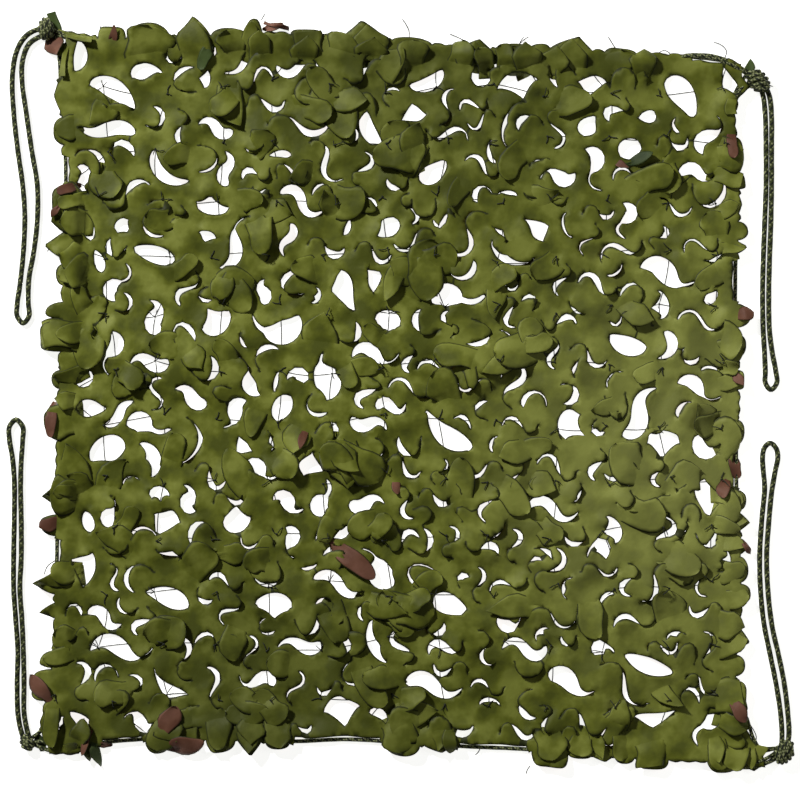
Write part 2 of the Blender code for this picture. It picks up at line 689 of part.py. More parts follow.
def swell(x, y):
    """Height of the loose cloth above the floor, away from the rope."""
    total = -SWELL_SINK
    for wave in SWELLS:
        heading = math.radians(wave.heading)
        along = x * math.cos(heading) + y * math.sin(heading)
        total += wave.height * math.sin(math.tau * along / wave.length + wave.phase)
    rest = (Vector((x, y)) - Vector(REST_AT)).length
    fade = min(1.0, max(0.0, (rest - REST_R) / REST_R))
    return max(0.0, total) * fade


def edge_rise(distance):
    """Height that the rope under the cloth's edge adds, by the distance inside it."""
    share = (EDGE_FALL - distance) / (EDGE_FALL - EDGE_RING)
    share = min(1.0, max(0.0, share))
    return EDGE_HEIGHT * share * share * (3 - 2 * share)


def cloth_height(point, ropes):
    low = swell(point.x, point.y)
    distance = line_distance(point, ropes)
    return max(edge_rise(distance), low) + min(edge_rise(distance), low) * 0.4


def fill_points(outline_lines, gap_lines, ropes):
    """Free points between the gaps, so that the cloth can follow its swells."""
    draw = random.Random(SLIT_SEED + 1)
    steps = range(-10, 11)
    points = []
    for row in steps:
        for column in steps:
            x = (column + 0.5 * (row % 2)) * FILL_PITCH
            y = row * FILL_ROW
            point = Vector((x + draw.uniform(-1, 1) * FILL_JITTER,
                            y + draw.uniform(-1, 1) * FILL_JITTER))
            if not inside(point, outline_lines):
                continue
            if line_distance(point, ropes) < EDGE_RING + FILL_CLEAR:
                continue
            if (point - Vector(REST_AT)).length < REST_CLEAR:
                continue
            if all(clear_of(point, gap, line) for gap, line in gap_lines):
                points.append(point)
    return points


def clear_of(point, gap, line):
    if abs(point.x - gap.x) > gap.long or abs(point.y - gap.y) > gap.long:
        return True
    near = FILL_CLEAR + gap.wide / 2
    return all((point - q).length > near for q, _ in line)


def inside(point, loop):
    """Whether a point lies inside a closed outline."""
    crossings = 0
    for a, b in closed(loop):
        if (a.y > point.y) != (b.y > point.y):
            x = a.x + (point.y - a.y) / (b.y - a.y) * (b.x - a.x)
            crossings += x > point.x
    return crossings % 2 == 1


def cloth_plan():
    """The flat cut of the cloth: points, heights, closed loops and free points."""
    ropes = []
    for side in SIDES:
        route = [place(x, y) for x, y in side.route]
        ropes += list(zip(route, route[1:]))
    draw = random.Random(SLIT_SEED + 2)
    points = []
    heights = []
    loops = []

    def add_loop(loop, levels):
        start = len(points)
        points.extend(loop)
        heights.extend(levels)
        loops.append(list(range(start, start + len(loop))))

    outline = []
    for side, corner in zip(SIDES, CORNERS):
        outline += side_outline(side) + [place(*corner)]
    add_loop(outline, [EDGE_HEIGHT + draw.uniform(0, EDGE_FLUTTER) for _ in outline])

    ring = rope_ring()
    gaps = all_gaps(ring)
    for gap in gaps:
        rim = gap_rim(gap)
        levels = [cloth_height(p, ropes) + lift for p, lift in rim]
        add_loop([p for p, _ in rim], levels)

    add_loop(ring, [EDGE_HEIGHT + 0.25 * swell(p.x, p.y) for p in ring])
    patch = []
    for k in range(3):
        angle = math.tau * k / 3
        patch.append(Vector(REST_AT) + REST_R * Vector((math.cos(angle), math.sin(angle))))
    add_loop(patch, [0.0] * 3)

    gap_lines = [(gap, gap_line(gap, LINE_POINTS)) for gap in gaps]
    for point in fill_points(outline, gap_lines, ropes):
        points.append(point)
        heights.append(cloth_height(point, ropes))
    return points, heights, loops, len(gaps)


def make_cloth(material):
    points, heights, loops, gap_count = cloth_plan()
    print("gaps cut through the cloth:", gap_count)
    edges = []
    for loop in loops:
        edges += closed(loop)
    faces = loops[:1 + gap_count]
    cut = delaunay_2d_cdt(points, edges, faces, 0, 1e-7, True)
    flat, triangles, origin, owners = cut[0], cut[2], cut[3], cut[5]
    if len(flat) != len(points):
        raise RuntimeError("two lines of the cloth's cut cross or touch")
    level = [0.0] * len(flat)
    for new, old in enumerate(origin):
        level[new] = heights[old[0]]

    mesh = bmesh.new()
    low = [mesh.verts.new((p.x, p.y, z)) for p, z in zip(flat, level)]
    high = [mesh.verts.new((p.x, p.y, z + CLOTH_THICK)) for p, z in zip(flat, level)]
    directed = {}
    for triangle, owner in zip(triangles, owners):
        if set(owner) != {0}:
            continue
        mesh.faces.new([high[i] for i in triangle])
        mesh.faces.new([low[i] for i in reversed(triangle)])
        for edge in closed(list(triangle)):
            directed[edge] = True
    for a, b in directed:
        if (b, a) not in directed:
            mesh.faces.new((low[a], low[b], high[b], high[a]))
    bmesh.ops.triangulate(mesh, faces=mesh.faces)
    bmesh.ops.recalc_face_normals(mesh, faces=mesh.faces)
    add_mesh("net_cloth", mesh, material)


# ---- objects ------------------------------------------------------------------------

def add_mesh(name, mesh, material):
    data = bpy.data.meshes.new(name)
    mesh.to_mesh(data)
    mesh.free()
    data.materials.append(material)
    bpy.context.collection.objects.link(bpy.data.objects.new(name, data))


def make_material(name, colour, roughness):
    material = bpy.data.materials.new(name)
    material.use_nodes = True
    shader = material.node_tree.nodes["Principled BSDF"]
    shader.inputs["Base Color"].default_value = (*colour, 1.0)
    shader.inputs["Roughness"].default_value = roughness
    shader.inputs["Metallic"].default_value = 0.0
    return material


def main():
    for old in list(bpy.data.objects):
        bpy.data.objects.remove(old)
    garnish = make_material("garnish_cloth", (0.088, 0.095, 0.018), 0.62)
    rope = make_material("perimeter_rope", (0.110, 0.115, 0.040), 0.80)
    tie = make_material("tie_cord", (0.080, 0.085, 0.030), 0.78)
    lines = {knot.name: knot_line(knot, SEAT_POINTS) for knot in KNOTS}
    make_cloth(garnish)
    make_ropes(lines, rope)
    for knot in KNOTS:
        make_knot(knot, rope)
    make_ties(lines, tie)


main()
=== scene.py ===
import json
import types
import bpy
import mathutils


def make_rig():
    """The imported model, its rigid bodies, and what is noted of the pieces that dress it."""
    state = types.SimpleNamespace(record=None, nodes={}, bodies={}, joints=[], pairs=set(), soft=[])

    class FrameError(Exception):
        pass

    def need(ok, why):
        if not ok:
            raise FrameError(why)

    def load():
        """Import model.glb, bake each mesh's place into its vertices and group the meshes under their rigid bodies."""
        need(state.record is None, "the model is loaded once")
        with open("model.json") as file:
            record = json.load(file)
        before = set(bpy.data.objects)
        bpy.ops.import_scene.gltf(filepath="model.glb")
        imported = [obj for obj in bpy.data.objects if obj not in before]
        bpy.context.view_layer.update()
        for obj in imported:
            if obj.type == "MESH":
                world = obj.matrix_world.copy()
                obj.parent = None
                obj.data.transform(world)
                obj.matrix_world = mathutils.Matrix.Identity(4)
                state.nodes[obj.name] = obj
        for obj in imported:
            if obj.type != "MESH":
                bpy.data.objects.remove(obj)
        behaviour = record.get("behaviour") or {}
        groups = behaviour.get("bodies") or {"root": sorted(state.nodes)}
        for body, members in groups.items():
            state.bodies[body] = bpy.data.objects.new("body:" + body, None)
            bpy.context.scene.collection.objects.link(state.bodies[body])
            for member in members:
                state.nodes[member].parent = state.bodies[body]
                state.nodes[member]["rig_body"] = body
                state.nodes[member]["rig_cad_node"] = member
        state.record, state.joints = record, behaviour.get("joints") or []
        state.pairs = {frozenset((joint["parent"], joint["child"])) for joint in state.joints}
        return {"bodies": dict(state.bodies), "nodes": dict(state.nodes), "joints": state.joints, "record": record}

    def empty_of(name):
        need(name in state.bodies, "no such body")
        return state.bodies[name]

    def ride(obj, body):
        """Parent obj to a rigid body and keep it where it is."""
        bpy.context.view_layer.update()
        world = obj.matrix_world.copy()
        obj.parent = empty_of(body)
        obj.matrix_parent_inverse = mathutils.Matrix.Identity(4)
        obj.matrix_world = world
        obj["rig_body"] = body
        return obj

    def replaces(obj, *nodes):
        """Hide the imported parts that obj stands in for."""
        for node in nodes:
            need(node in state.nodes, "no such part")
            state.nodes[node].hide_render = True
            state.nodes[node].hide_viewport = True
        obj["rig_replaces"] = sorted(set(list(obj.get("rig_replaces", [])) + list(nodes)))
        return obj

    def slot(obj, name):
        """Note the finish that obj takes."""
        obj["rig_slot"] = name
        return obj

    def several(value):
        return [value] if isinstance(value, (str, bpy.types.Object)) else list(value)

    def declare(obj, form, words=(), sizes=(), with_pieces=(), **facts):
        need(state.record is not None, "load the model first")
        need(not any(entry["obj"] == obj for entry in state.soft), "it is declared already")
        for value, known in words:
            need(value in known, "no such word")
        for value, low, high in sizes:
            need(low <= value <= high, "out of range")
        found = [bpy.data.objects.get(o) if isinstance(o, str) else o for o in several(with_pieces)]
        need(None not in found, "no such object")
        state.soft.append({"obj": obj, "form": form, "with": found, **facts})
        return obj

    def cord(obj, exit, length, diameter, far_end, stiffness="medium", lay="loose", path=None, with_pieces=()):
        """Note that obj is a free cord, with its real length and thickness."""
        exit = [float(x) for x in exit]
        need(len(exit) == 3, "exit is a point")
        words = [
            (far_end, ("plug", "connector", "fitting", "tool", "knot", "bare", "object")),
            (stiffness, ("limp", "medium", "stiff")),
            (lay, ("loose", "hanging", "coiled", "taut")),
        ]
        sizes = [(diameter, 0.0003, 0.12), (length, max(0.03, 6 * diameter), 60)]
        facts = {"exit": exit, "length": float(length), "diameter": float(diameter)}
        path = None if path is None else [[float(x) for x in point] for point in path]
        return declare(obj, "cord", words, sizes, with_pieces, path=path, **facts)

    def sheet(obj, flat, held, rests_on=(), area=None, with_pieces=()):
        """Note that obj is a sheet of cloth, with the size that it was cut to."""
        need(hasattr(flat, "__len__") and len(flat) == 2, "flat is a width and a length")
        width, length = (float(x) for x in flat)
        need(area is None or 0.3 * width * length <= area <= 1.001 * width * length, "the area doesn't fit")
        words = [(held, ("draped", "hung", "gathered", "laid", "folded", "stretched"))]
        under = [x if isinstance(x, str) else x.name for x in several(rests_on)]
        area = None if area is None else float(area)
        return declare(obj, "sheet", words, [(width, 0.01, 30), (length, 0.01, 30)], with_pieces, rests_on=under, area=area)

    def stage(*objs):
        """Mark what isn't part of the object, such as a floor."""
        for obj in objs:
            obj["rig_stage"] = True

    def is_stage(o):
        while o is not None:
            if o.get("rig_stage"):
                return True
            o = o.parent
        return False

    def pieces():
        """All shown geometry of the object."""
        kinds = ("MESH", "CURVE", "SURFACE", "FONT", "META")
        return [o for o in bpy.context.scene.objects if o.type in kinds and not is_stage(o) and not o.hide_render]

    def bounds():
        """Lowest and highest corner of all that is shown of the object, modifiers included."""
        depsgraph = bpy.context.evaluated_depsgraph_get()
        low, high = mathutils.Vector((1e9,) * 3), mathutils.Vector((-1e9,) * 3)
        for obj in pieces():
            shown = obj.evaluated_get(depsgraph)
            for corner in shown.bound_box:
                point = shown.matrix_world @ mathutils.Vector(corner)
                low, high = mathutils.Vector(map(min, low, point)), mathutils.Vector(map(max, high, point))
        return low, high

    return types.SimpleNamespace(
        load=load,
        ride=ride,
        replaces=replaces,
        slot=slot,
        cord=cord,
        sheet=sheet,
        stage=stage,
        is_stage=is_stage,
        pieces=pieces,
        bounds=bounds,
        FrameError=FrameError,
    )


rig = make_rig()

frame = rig.load()

import json
import math
import random
from collections import namedtuple

import bmesh
import bpy
import numpy as np
from mathutils import Vector, kdtree, noise
from mathutils.geometry import delaunay_2d_cdt

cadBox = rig.bounds()
print("frame loaded:", ", ".join(sorted(frame["nodes"])))

# the layout is counted in plan units from its upper left corner, as the solids' is
plan = {
    "unit": 0.00144,            # metres in one plan unit
    "middle": (406.5, 394.0),   # the net's middle, in plan units
    "sheet": 800,               # the layout's width and height
}


def place(x, y):
    # the spot over the floor, in metres, of a spot in plan units
    return Vector(((x - plan["middle"][0]) * plan["unit"],
                   (plan["middle"][1] - y) * plan["unit"]))


def hexColour(code):
    # sRGB hex to a linear colour
    parts = [int(code[i:i + 2], 16) / 255 for i in (1, 3, 5)]
    return [p / 12.92 if p <= 0.04045 else ((p + 0.055) / 1.055) ** 2.4 for p in parts] + [1.0]


def addNode(tree, kind, settings=None, links=None):
    # a node with its settings; a link's source is (node, output), a plain value is set
    node = tree.nodes.new("ShaderNode" + kind)
    for name, value in (settings or {}).items():
        setattr(node, name, value)
    for name, source in (links or {}).items():
        if isinstance(source, tuple) and isinstance(source[0], bpy.types.Node):
            tree.links.new(source[0].outputs[source[1]], node.inputs[name])
        else:
            node.inputs[name].default_value = source
    return node


def startMaterial(name):
    # a new material, its nodes and its shader
    material = bpy.data.materials.new(name)
    material.use_nodes = True
    return material, material.node_tree, material.node_tree.nodes["Principled BSDF"]


# camera straight above, at the layout's frame; a long lens keeps the sides square
cameraSet = {"height": 3.2, "sensor": 36.0}
cameraData = bpy.data.cameras.new("camera")
cameraData.sensor_width = cameraSet["sensor"]
cameraData.lens = cameraSet["sensor"] * cameraSet["height"] / (plan["sheet"] * plan["unit"])
camera = bpy.data.objects.new("camera", cameraData)
cameraSpot = place(plan["sheet"] / 2, plan["sheet"] / 2)
camera.location = (cameraSpot.x, cameraSpot.y, cameraSet["height"])
bpy.context.scene.collection.objects.link(camera)
bpy.context.scene.camera = camera


def addPiece(name, data):
    # an object for a mesh or a lamp, linked to the scene
    piece = bpy.data.objects.new(name, data)
    bpy.context.collection.objects.link(piece)
    return piece


def dressPiece(piece, material=None, node=None, slot=None):
    # a piece's material and body, the solid it stands for and the finish it takes
    if material:
        piece.data.materials.append(material)
    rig.ride(piece, "root")
    if node:
        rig.replaces(piece, node)
    if slot:
        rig.slot(piece, slot)


def seeded(number):
    # random draws of their own, the same at each run
    return random.Random(cut["seed"] + number)


def smoothRoute(points, spacing=0.0008):
    # closely spaced points on a centripetal curve through the route's points
    route = [2 * points[0] - points[1]] + list(points) + [2 * points[-1] - points[-2]]
    found = []
    for i in range(1, len(route) - 2):
        p0, p1, p2, p3 = route[i - 1:i + 3]
        t1 = math.sqrt((p1 - p0).length)
        t2 = t1 + math.sqrt((p2 - p1).length)
        t3 = t2 + math.sqrt((p3 - p2).length)
        steps = max(2, round((p2 - p1).length / spacing))
        for k in range(steps):
            t = t1 + (t2 - t1) * k / steps
            a = p0.lerp(p1, t / t1)
            b = p1.lerp(p2, (t - t1) / (t2 - t1))
            c = p2.lerp(p3, (t - t2) / (t3 - t2))
            d = a.lerp(b, t / t2)
            e = b.lerp(c, (t - t1) / (t3 - t1))
            found.append(d.lerp(e, (t - t1) / (t2 - t1)))
    found.append(route[-2].copy())
    return found


def evenRoute(points, step):
    # the same line with its points a fixed step apart
    kept, run = [points[0]], 0.0
    for before, after in zip(points, points[1:]):
        run += (after - before).length
        if run >= step:
            kept.append(after)
            run = 0.0
    kept[-1] = points[-1]
    return kept


def layLine(points, height, step):
    # a smooth line through a layout's points, at one height
    return evenRoute([Vector((p.x, p.y, height)) for p in smoothRoute(points)], step)


def sweepTube(name, line, radius, sides, swell=None, closedLine=False, tipShare=1.0):
    # a tube with uv: u runs once round, v is metres along; swell(v, angle) is its relief
    count = len(line)
    mesh = bmesh.new()
    uvLayer = mesh.loops.layers.uv.new("run")
    rings, runs, run = [], [], 0.0
    normal = Vector((0, 0, 1))
    for i, here in enumerate(line):
        ahead = line[(i + 1) % count] if closedLine or i + 1 < count else here
        behind = line[i - 1] if closedLine or i else here
        heading = (ahead - behind).normalized()
        side = normal.cross(heading).normalized()
        up = heading.cross(side)
        if i:
            run += (here - line[i - 1]).length
        runs.append(run)
        thick = radius
        if not closedLine and i in (0, count - 1):
            thick = radius * tipShare
        ring = []
        for k in range(sides):
            angle = math.tau * k / sides
            reach = thick * (swell(run, angle) if swell else 1.0)
            spoke = math.cos(angle) * side + math.sin(angle) * up
            ring.append(mesh.verts.new(here + spoke * reach))
        rings.append(ring)
    runs.append(run + (line[0] - line[-1]).length)
    for i in range(count if closedLine else count - 1):
        j = (i + 1) % count
        for k in range(sides):
            m = (k + 1) % sides
            face = mesh.faces.new((rings[i][k], rings[i][m], rings[j][m], rings[j][k]))
            face.smooth = True
            spots = ((k, i), (k + 1, i), (k + 1, i + 1), (k, i + 1))
            for loop, (around, along) in zip(face.loops, spots):
                loop[uvLayer].uv = (around / sides, runs[along])
    if not closedLine:
        for ring, last in ((rings[0], False), (rings[-1], True)):
            mesh.faces.new(ring if last else ring[::-1])
    bmesh.ops.recalc_face_normals(mesh, faces=mesh.faces)
    data = bpy.data.meshes.new(name)
    mesh.to_mesh(data)
    mesh.free()
    return addPiece(name, data)


# braided polyester cord: round strands laid over and under, dull, flecked
cordLook = {
    "olive": "#434b22", "light": "#959a6c", "dark": "#161c10",
    "lightBand": 0.28,          # share of the strands that are olive, the light ones follow
    "carriers": 6.0,            # strands each way round the cord
    "pitch": 0.0036,            # metres along for one step of the braid, a little over real size
    "bump": 0.0005, "bumpShare": 0.8, "roughness": 0.72, "specular": 0.3,
    "grooveShade": (0.7, 0.35),      # painted shade in the grooves: below this height a strand darkens, down to this share
    "tieDark": 0.52, "ropeDark": 0.42,      # the share of the strands that are dark
    "swell": 0.05, "swellTurns": 4, "swellRun": 1400,    # relief of the cord's edge
    "rest": 0.53,               # of a cord's diameter, from the floor to its middle
}


def braidMaterial(name, look, darkShare):
    material, tree, shader = startMaterial(name)
    uv = addNode(tree, "UVMap", {"uv_map": "run"})
    parts = addNode(tree, "SeparateXYZ", links={"Vector": (uv, "UV")})
    around = addNode(tree, "Math", {"operation": "MULTIPLY"},
                     {0: (parts, "X"), 1: look["carriers"]})
    along = addNode(tree, "Math", {"operation": "DIVIDE"},
                    {0: (parts, "Y"), 1: look["pitch"]})
    strands = []
    for operation in ("ADD", "SUBTRACT"):  # the two hands of the braid
        lane = addNode(tree, "Math", {"operation": operation}, {0: (around, 0), 1: (along, 0)})
        cell = addNode(tree, "Math", {"operation": "FLOOR"}, {0: (lane, 0)})
        part = addNode(tree, "Math", {"operation": "FRACT"}, {0: (lane, 0)})
        turn = addNode(tree, "Math", {"operation": "MULTIPLY"}, {0: (part, 0), 1: math.pi})
        arch = addNode(tree, "Math", {"operation": "SINE"}, {0: (turn, 0)})
        wrap = addNode(tree, "Math", {"operation": "FLOORED_MODULO"},
                       {0: (cell, 0), 1: look["carriers"]})
        tone = addNode(tree, "TexWhiteNoise", {"noise_dimensions": "1D"}, {"W": (wrap, 0)})
        strands.append((cell, arch, tone))
    both = addNode(tree, "Math", {"operation": "ADD"},
                   {0: (strands[0][0], 0), 1: (strands[1][0], 0)})
    over = addNode(tree, "Math", {"operation": "FLOORED_MODULO"}, {0: (both, 0), 1: 2.0})
    height = addNode(tree, "Mix", {"data_type": "FLOAT"},
                     {0: (over, 0), 2: (strands[0][1], 0), 3: (strands[1][1], 0)})
    tone = addNode(tree, "Mix", {"data_type": "FLOAT"},
                   {0: (over, 0), 2: (strands[0][2], 0), 3: (strands[1][2], 0)})
    ramp = addNode(tree, "ValToRGB", links={"Fac": (tone, 0)})
    ramp.color_ramp.interpolation = "CONSTANT"
    stops = ramp.color_ramp.elements
    stops[0].color = hexColour(look["dark"])
    stops[1].position = darkShare
    stops[1].color = hexColour(look["olive"])
    stops.new(darkShare + look["lightBand"]).color = hexColour(look["light"])
    # painted shade: each strand darkens where it dips into the braid's grooves
    deep, dark = look["grooveShade"]
    grooveShade = addNode(tree, "MapRange", links={"Value": (height, 0), "From Min": 0.0,
                                              "From Max": deep, "To Min": dark, "To Max": 1.0})
    shade = addNode(tree, "Mix", {"data_type": "RGBA", "blend_type": "MULTIPLY"},
                    {0: 1.0, 6: (ramp, "Color"), 7: (grooveShade, 0)})
    bump = addNode(tree, "Bump", links={"Height": (height, 0), "Strength": look["bumpShare"],
                                        "Distance": look["bump"]})
    tree.links.new(shade.outputs[2], shader.inputs["Base Color"])
    tree.links.new(bump.outputs[0], shader.inputs["Normal"])
    shader.inputs["Roughness"].default_value = look["roughness"]
    shader.inputs["Specular IOR Level"].default_value = look["specular"]
    return material


tieBraid = braidMaterial("polyester_braid_tie", cordLook, cordLook["tieDark"])
ropeBraid = braidMaterial("polyester_braid_rope", cordLook, cordLook["ropeDark"])


def braidSwell(run, angle):
    # low relief of the braid's strands, so that the cord's edge isn't a clean line
    around, along = cordLook["swellTurns"] * angle, run * cordLook["swellRun"]
    return 1.0 + cordLook["swell"] * math.sin(around + along) * math.sin(around - along)


# tie cords, doubled, both ends in a corner knot
tieSet = {"diameter": 0.0075, "sides": 16, "step": 0.0018}
ties = {
    "tie_top_left": (
        (-0.515, 0.525), (-0.534, 0.523), (-0.549, 0.513), (-0.561, 0.492), (-0.567, 0.455),
        (-0.565, 0.405), (-0.559, 0.350), (-0.552, 0.300), (-0.549, 0.255), (-0.551, 0.205),
        (-0.556, 0.157), (-0.560, 0.129), (-0.560, 0.112), (-0.5515, 0.102), (-0.543, 0.112),
        (-0.544, 0.131), (-0.543, 0.165), (-0.536, 0.205), (-0.531, 0.250), (-0.531, 0.300),
        (-0.539, 0.350), (-0.547, 0.405), (-0.553, 0.450), (-0.552, 0.480), (-0.543, 0.503),
        (-0.529, 0.513), (-0.515, 0.518)),
    "tie_top_right": (
        (0.508, 0.446), (0.513, 0.428), (0.516, 0.400), (0.517, 0.355), (0.517, 0.300),
        (0.515, 0.245), (0.513, 0.190), (0.512, 0.140), (0.513, 0.092), (0.515, 0.056),
        (0.516, 0.031), (0.516, 0.016), (0.524, 0.006), (0.5325, 0.016), (0.531, 0.033),
        (0.526, 0.060), (0.522, 0.092), (0.521, 0.140), (0.522, 0.190), (0.524, 0.245),
        (0.525, 0.300), (0.525, 0.355), (0.525, 0.400), (0.522, 0.428), (0.514, 0.447)),
    "tie_bottom_left": (
        (-0.549, -0.500), (-0.555, -0.482), (-0.559, -0.458), (-0.560, -0.415), (-0.559, -0.370),
        (-0.562, -0.325), (-0.565, -0.280), (-0.565, -0.230), (-0.564, -0.175), (-0.564, -0.125),
        (-0.567, -0.090), (-0.571, -0.066), (-0.571, -0.047), (-0.5615, -0.037), (-0.552, -0.047),
        (-0.552, -0.066), (-0.554, -0.095), (-0.555, -0.135), (-0.554, -0.185), (-0.554, -0.235),
        (-0.556, -0.280), (-0.553, -0.325), (-0.551, -0.370), (-0.550, -0.415), (-0.550, -0.458),
        (-0.546, -0.482), (-0.541, -0.500)),
    "tie_bottom_right": (
        (0.539, -0.514), (0.540, -0.490), (0.538, -0.460), (0.532, -0.420), (0.523, -0.375),
        (0.514, -0.330), (0.509, -0.280), (0.508, -0.230), (0.511, -0.180), (0.515, -0.135),
        (0.513, -0.110), (0.512, -0.091), (0.515, -0.077), (0.523, -0.0705), (0.531, -0.077),
        (0.534, -0.091), (0.530, -0.112), (0.525, -0.143), (0.521, -0.185), (0.518, -0.232),
        (0.520, -0.285), (0.526, -0.335), (0.535, -0.375), (0.543, -0.415), (0.548, -0.455),
        (0.550, -0.490), (0.546, -0.514)),
}
for name, route in ties.items():
    line = layLine([Vector(p) for p in route], tieSet["diameter"] * cordLook["rest"],
                   tieSet["step"])
    cord = sweepTube(name + "_cord", line, tieSet["diameter"] / 2, tieSet["sides"], braidSwell)
    dressPiece(cord, tieBraid, name, "tie_cord")
    length = sum((b - a).length for a, b in zip(line, line[1:]))
    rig.cord(cord, exit=line[0], length=round(length, 3), diameter=tieSet["diameter"],
            far_end="object", stiffness="limp", lay="loose", path=line)
print("ties made")


# the net's cut, as its solids have it: slits of a cutting die that stand open
Gap = namedtuple("Gap", "x y long wide turn sway curl deep", defaults=(0, 0, 1.0))
Leaf = namedtuple("Leaf", "first last reach kind", defaults=("round",))
Side = namedtuple("Side", "name along outward route leaves bare")
Wave = namedtuple("Wave", "length heading height phase")
Area = namedtuple("Area", "x y reach more")

# the larger gaps, in plan units: middle, length, width, turn, sway and curl in degrees
mainGaps = [Gap(*row) for row in (
    (77, 58, 30, 15, 75), (211, 60, 46, 10, -15, 0, 70), (245, 62, 46, 8, 30, -30),
    (277, 41, 25, 14, 0), (304, 54, 50, 6, 38, -55), (384, 58, 52, 9, -35, 50),
    (469, 55, 21, 17, 70), (107, 131, 74, 12, -6, -30), (115, 93, 50, 17, -28, 0, -35),
    (147, 73, 34, 15, 10, 0, -30), (298, 126, 60, 7, 0, 40), (371, 131, 32, 12, -62),
    (382, 98, 44, 14, 65, -25), (413, 116, 26, 13, 15, 0, -30), (428, 82, 36, 12, 25, 0, 40),
    (486, 72, 42, 13, 25, -25), (511, 125, 50, 7, 75, 0, -55), (517, 84, 40, 18, 12),
    (588, 126, 22, 14, 60), (592, 84, 28, 13, 0), (683, 96, 46, 17, -55), (720, 131, 32, 13, -70),
    (127, 194, 50, 7, 20, -35), (166, 172, 46, 10, -42, 0, 60), (326, 161, 56, 6, -48, 55),
    (434, 173, 32, 14, 35), (630, 151, 22, 15, 20), (635, 174, 34, 12, -5, 0, 40),
    (86, 224, 34, 11, -70), (155, 254, 42, 14, -18), (213, 206, 32, 14, -10),
    (235, 242, 60, 11, 60, -40), (387, 228, 24, 16, 50), (468, 233, 54, 6, 45, -60),
    (510, 257, 46, 7, -20, 0, 50), (535, 229, 30, 13, -50), (217, 322, 32, 19, 35),
    (276, 328, 46, 12, 0, 0, 80), (346, 291, 42, 15, -72), (372, 281, 25, 13, -75),
    (388, 320, 25, 15, -15), (459, 299, 54, 13, 8, 40), (496, 288, 38, 16, -88),
    (660, 305, 28, 13, -85), (667, 275, 56, 12, -15, 40), (715, 298, 52, 15, 80, 0, -50),
    (249, 376, 44, 8, -60, 30), (288, 354, 58, 12, 12, 50), (325, 376, 48, 14, -85, -25),
    (627, 344, 38, 15, -18), (92, 408, 28, 14, 0), (107, 451, 36, 19, 20),
    (119, 413, 42, 8, 40, -30), (149, 427, 58, 12, -5, 40), (152, 458, 46, 9, -70, 0, -60),
    (193, 441, 46, 7, 85, 0, 60), (235, 414, 46, 9, 50, -40), (283, 408, 28, 14, 60),
    (325, 418, 56, 19, -5, 0, -25), (446, 433, 58, 17, -38), (571, 426, 28, 18, 60),
    (639, 412, 58, 12, 55, -40), (663, 443, 42, 18, 0), (667, 418, 30, 11, -62),
    (77, 486, 28, 12, -15), (167, 520, 26, 17, -18), (196, 482, 27, 19, -60), (238, 518, 25, 20, 0),
    (309, 464, 25, 16, 70), (553, 510, 50, 8, -5, 50), (708, 497, 36, 16, -82),
    (717, 469, 28, 15, 35), (86, 569, 34, 16, 75), (130, 541, 62, 5, 12, -50),
    (339, 585, 52, 8, -15, 45), (340, 565, 26, 17, -30), (378, 567, 48, 14, -50, 30),
    (418, 577, 46, 20, 60), (612, 529, 28, 12, -72), (654, 582, 46, 7, 55, -35),
    (122, 649, 62, 10, 2, 45), (168, 598, 44, 15, -20), (190, 632, 44, 7, 80, 40),
    (274, 603, 36, 17, -5), (300, 645, 44, 9, 5, 40), (375, 643, 44, 8, -72, 0, 40),
    (386, 610, 46, 13, 80), (450, 603, 34, 15, -20), (81, 722, 36, 9, -70, 0, -60),
    (168, 685, 42, 10, -38, 0, 40), (277, 716, 46, 7, -72, 40), (342, 709, 36, 20, 10),
    (434, 686, 56, 11, -5, 45), (571, 683, 48, 12, -18, 40), (624, 684, 62, 6, -38, 40),
    (648, 665, 50, 13, -20), (655, 717, 40, 9, 8, 0, 30),
)]

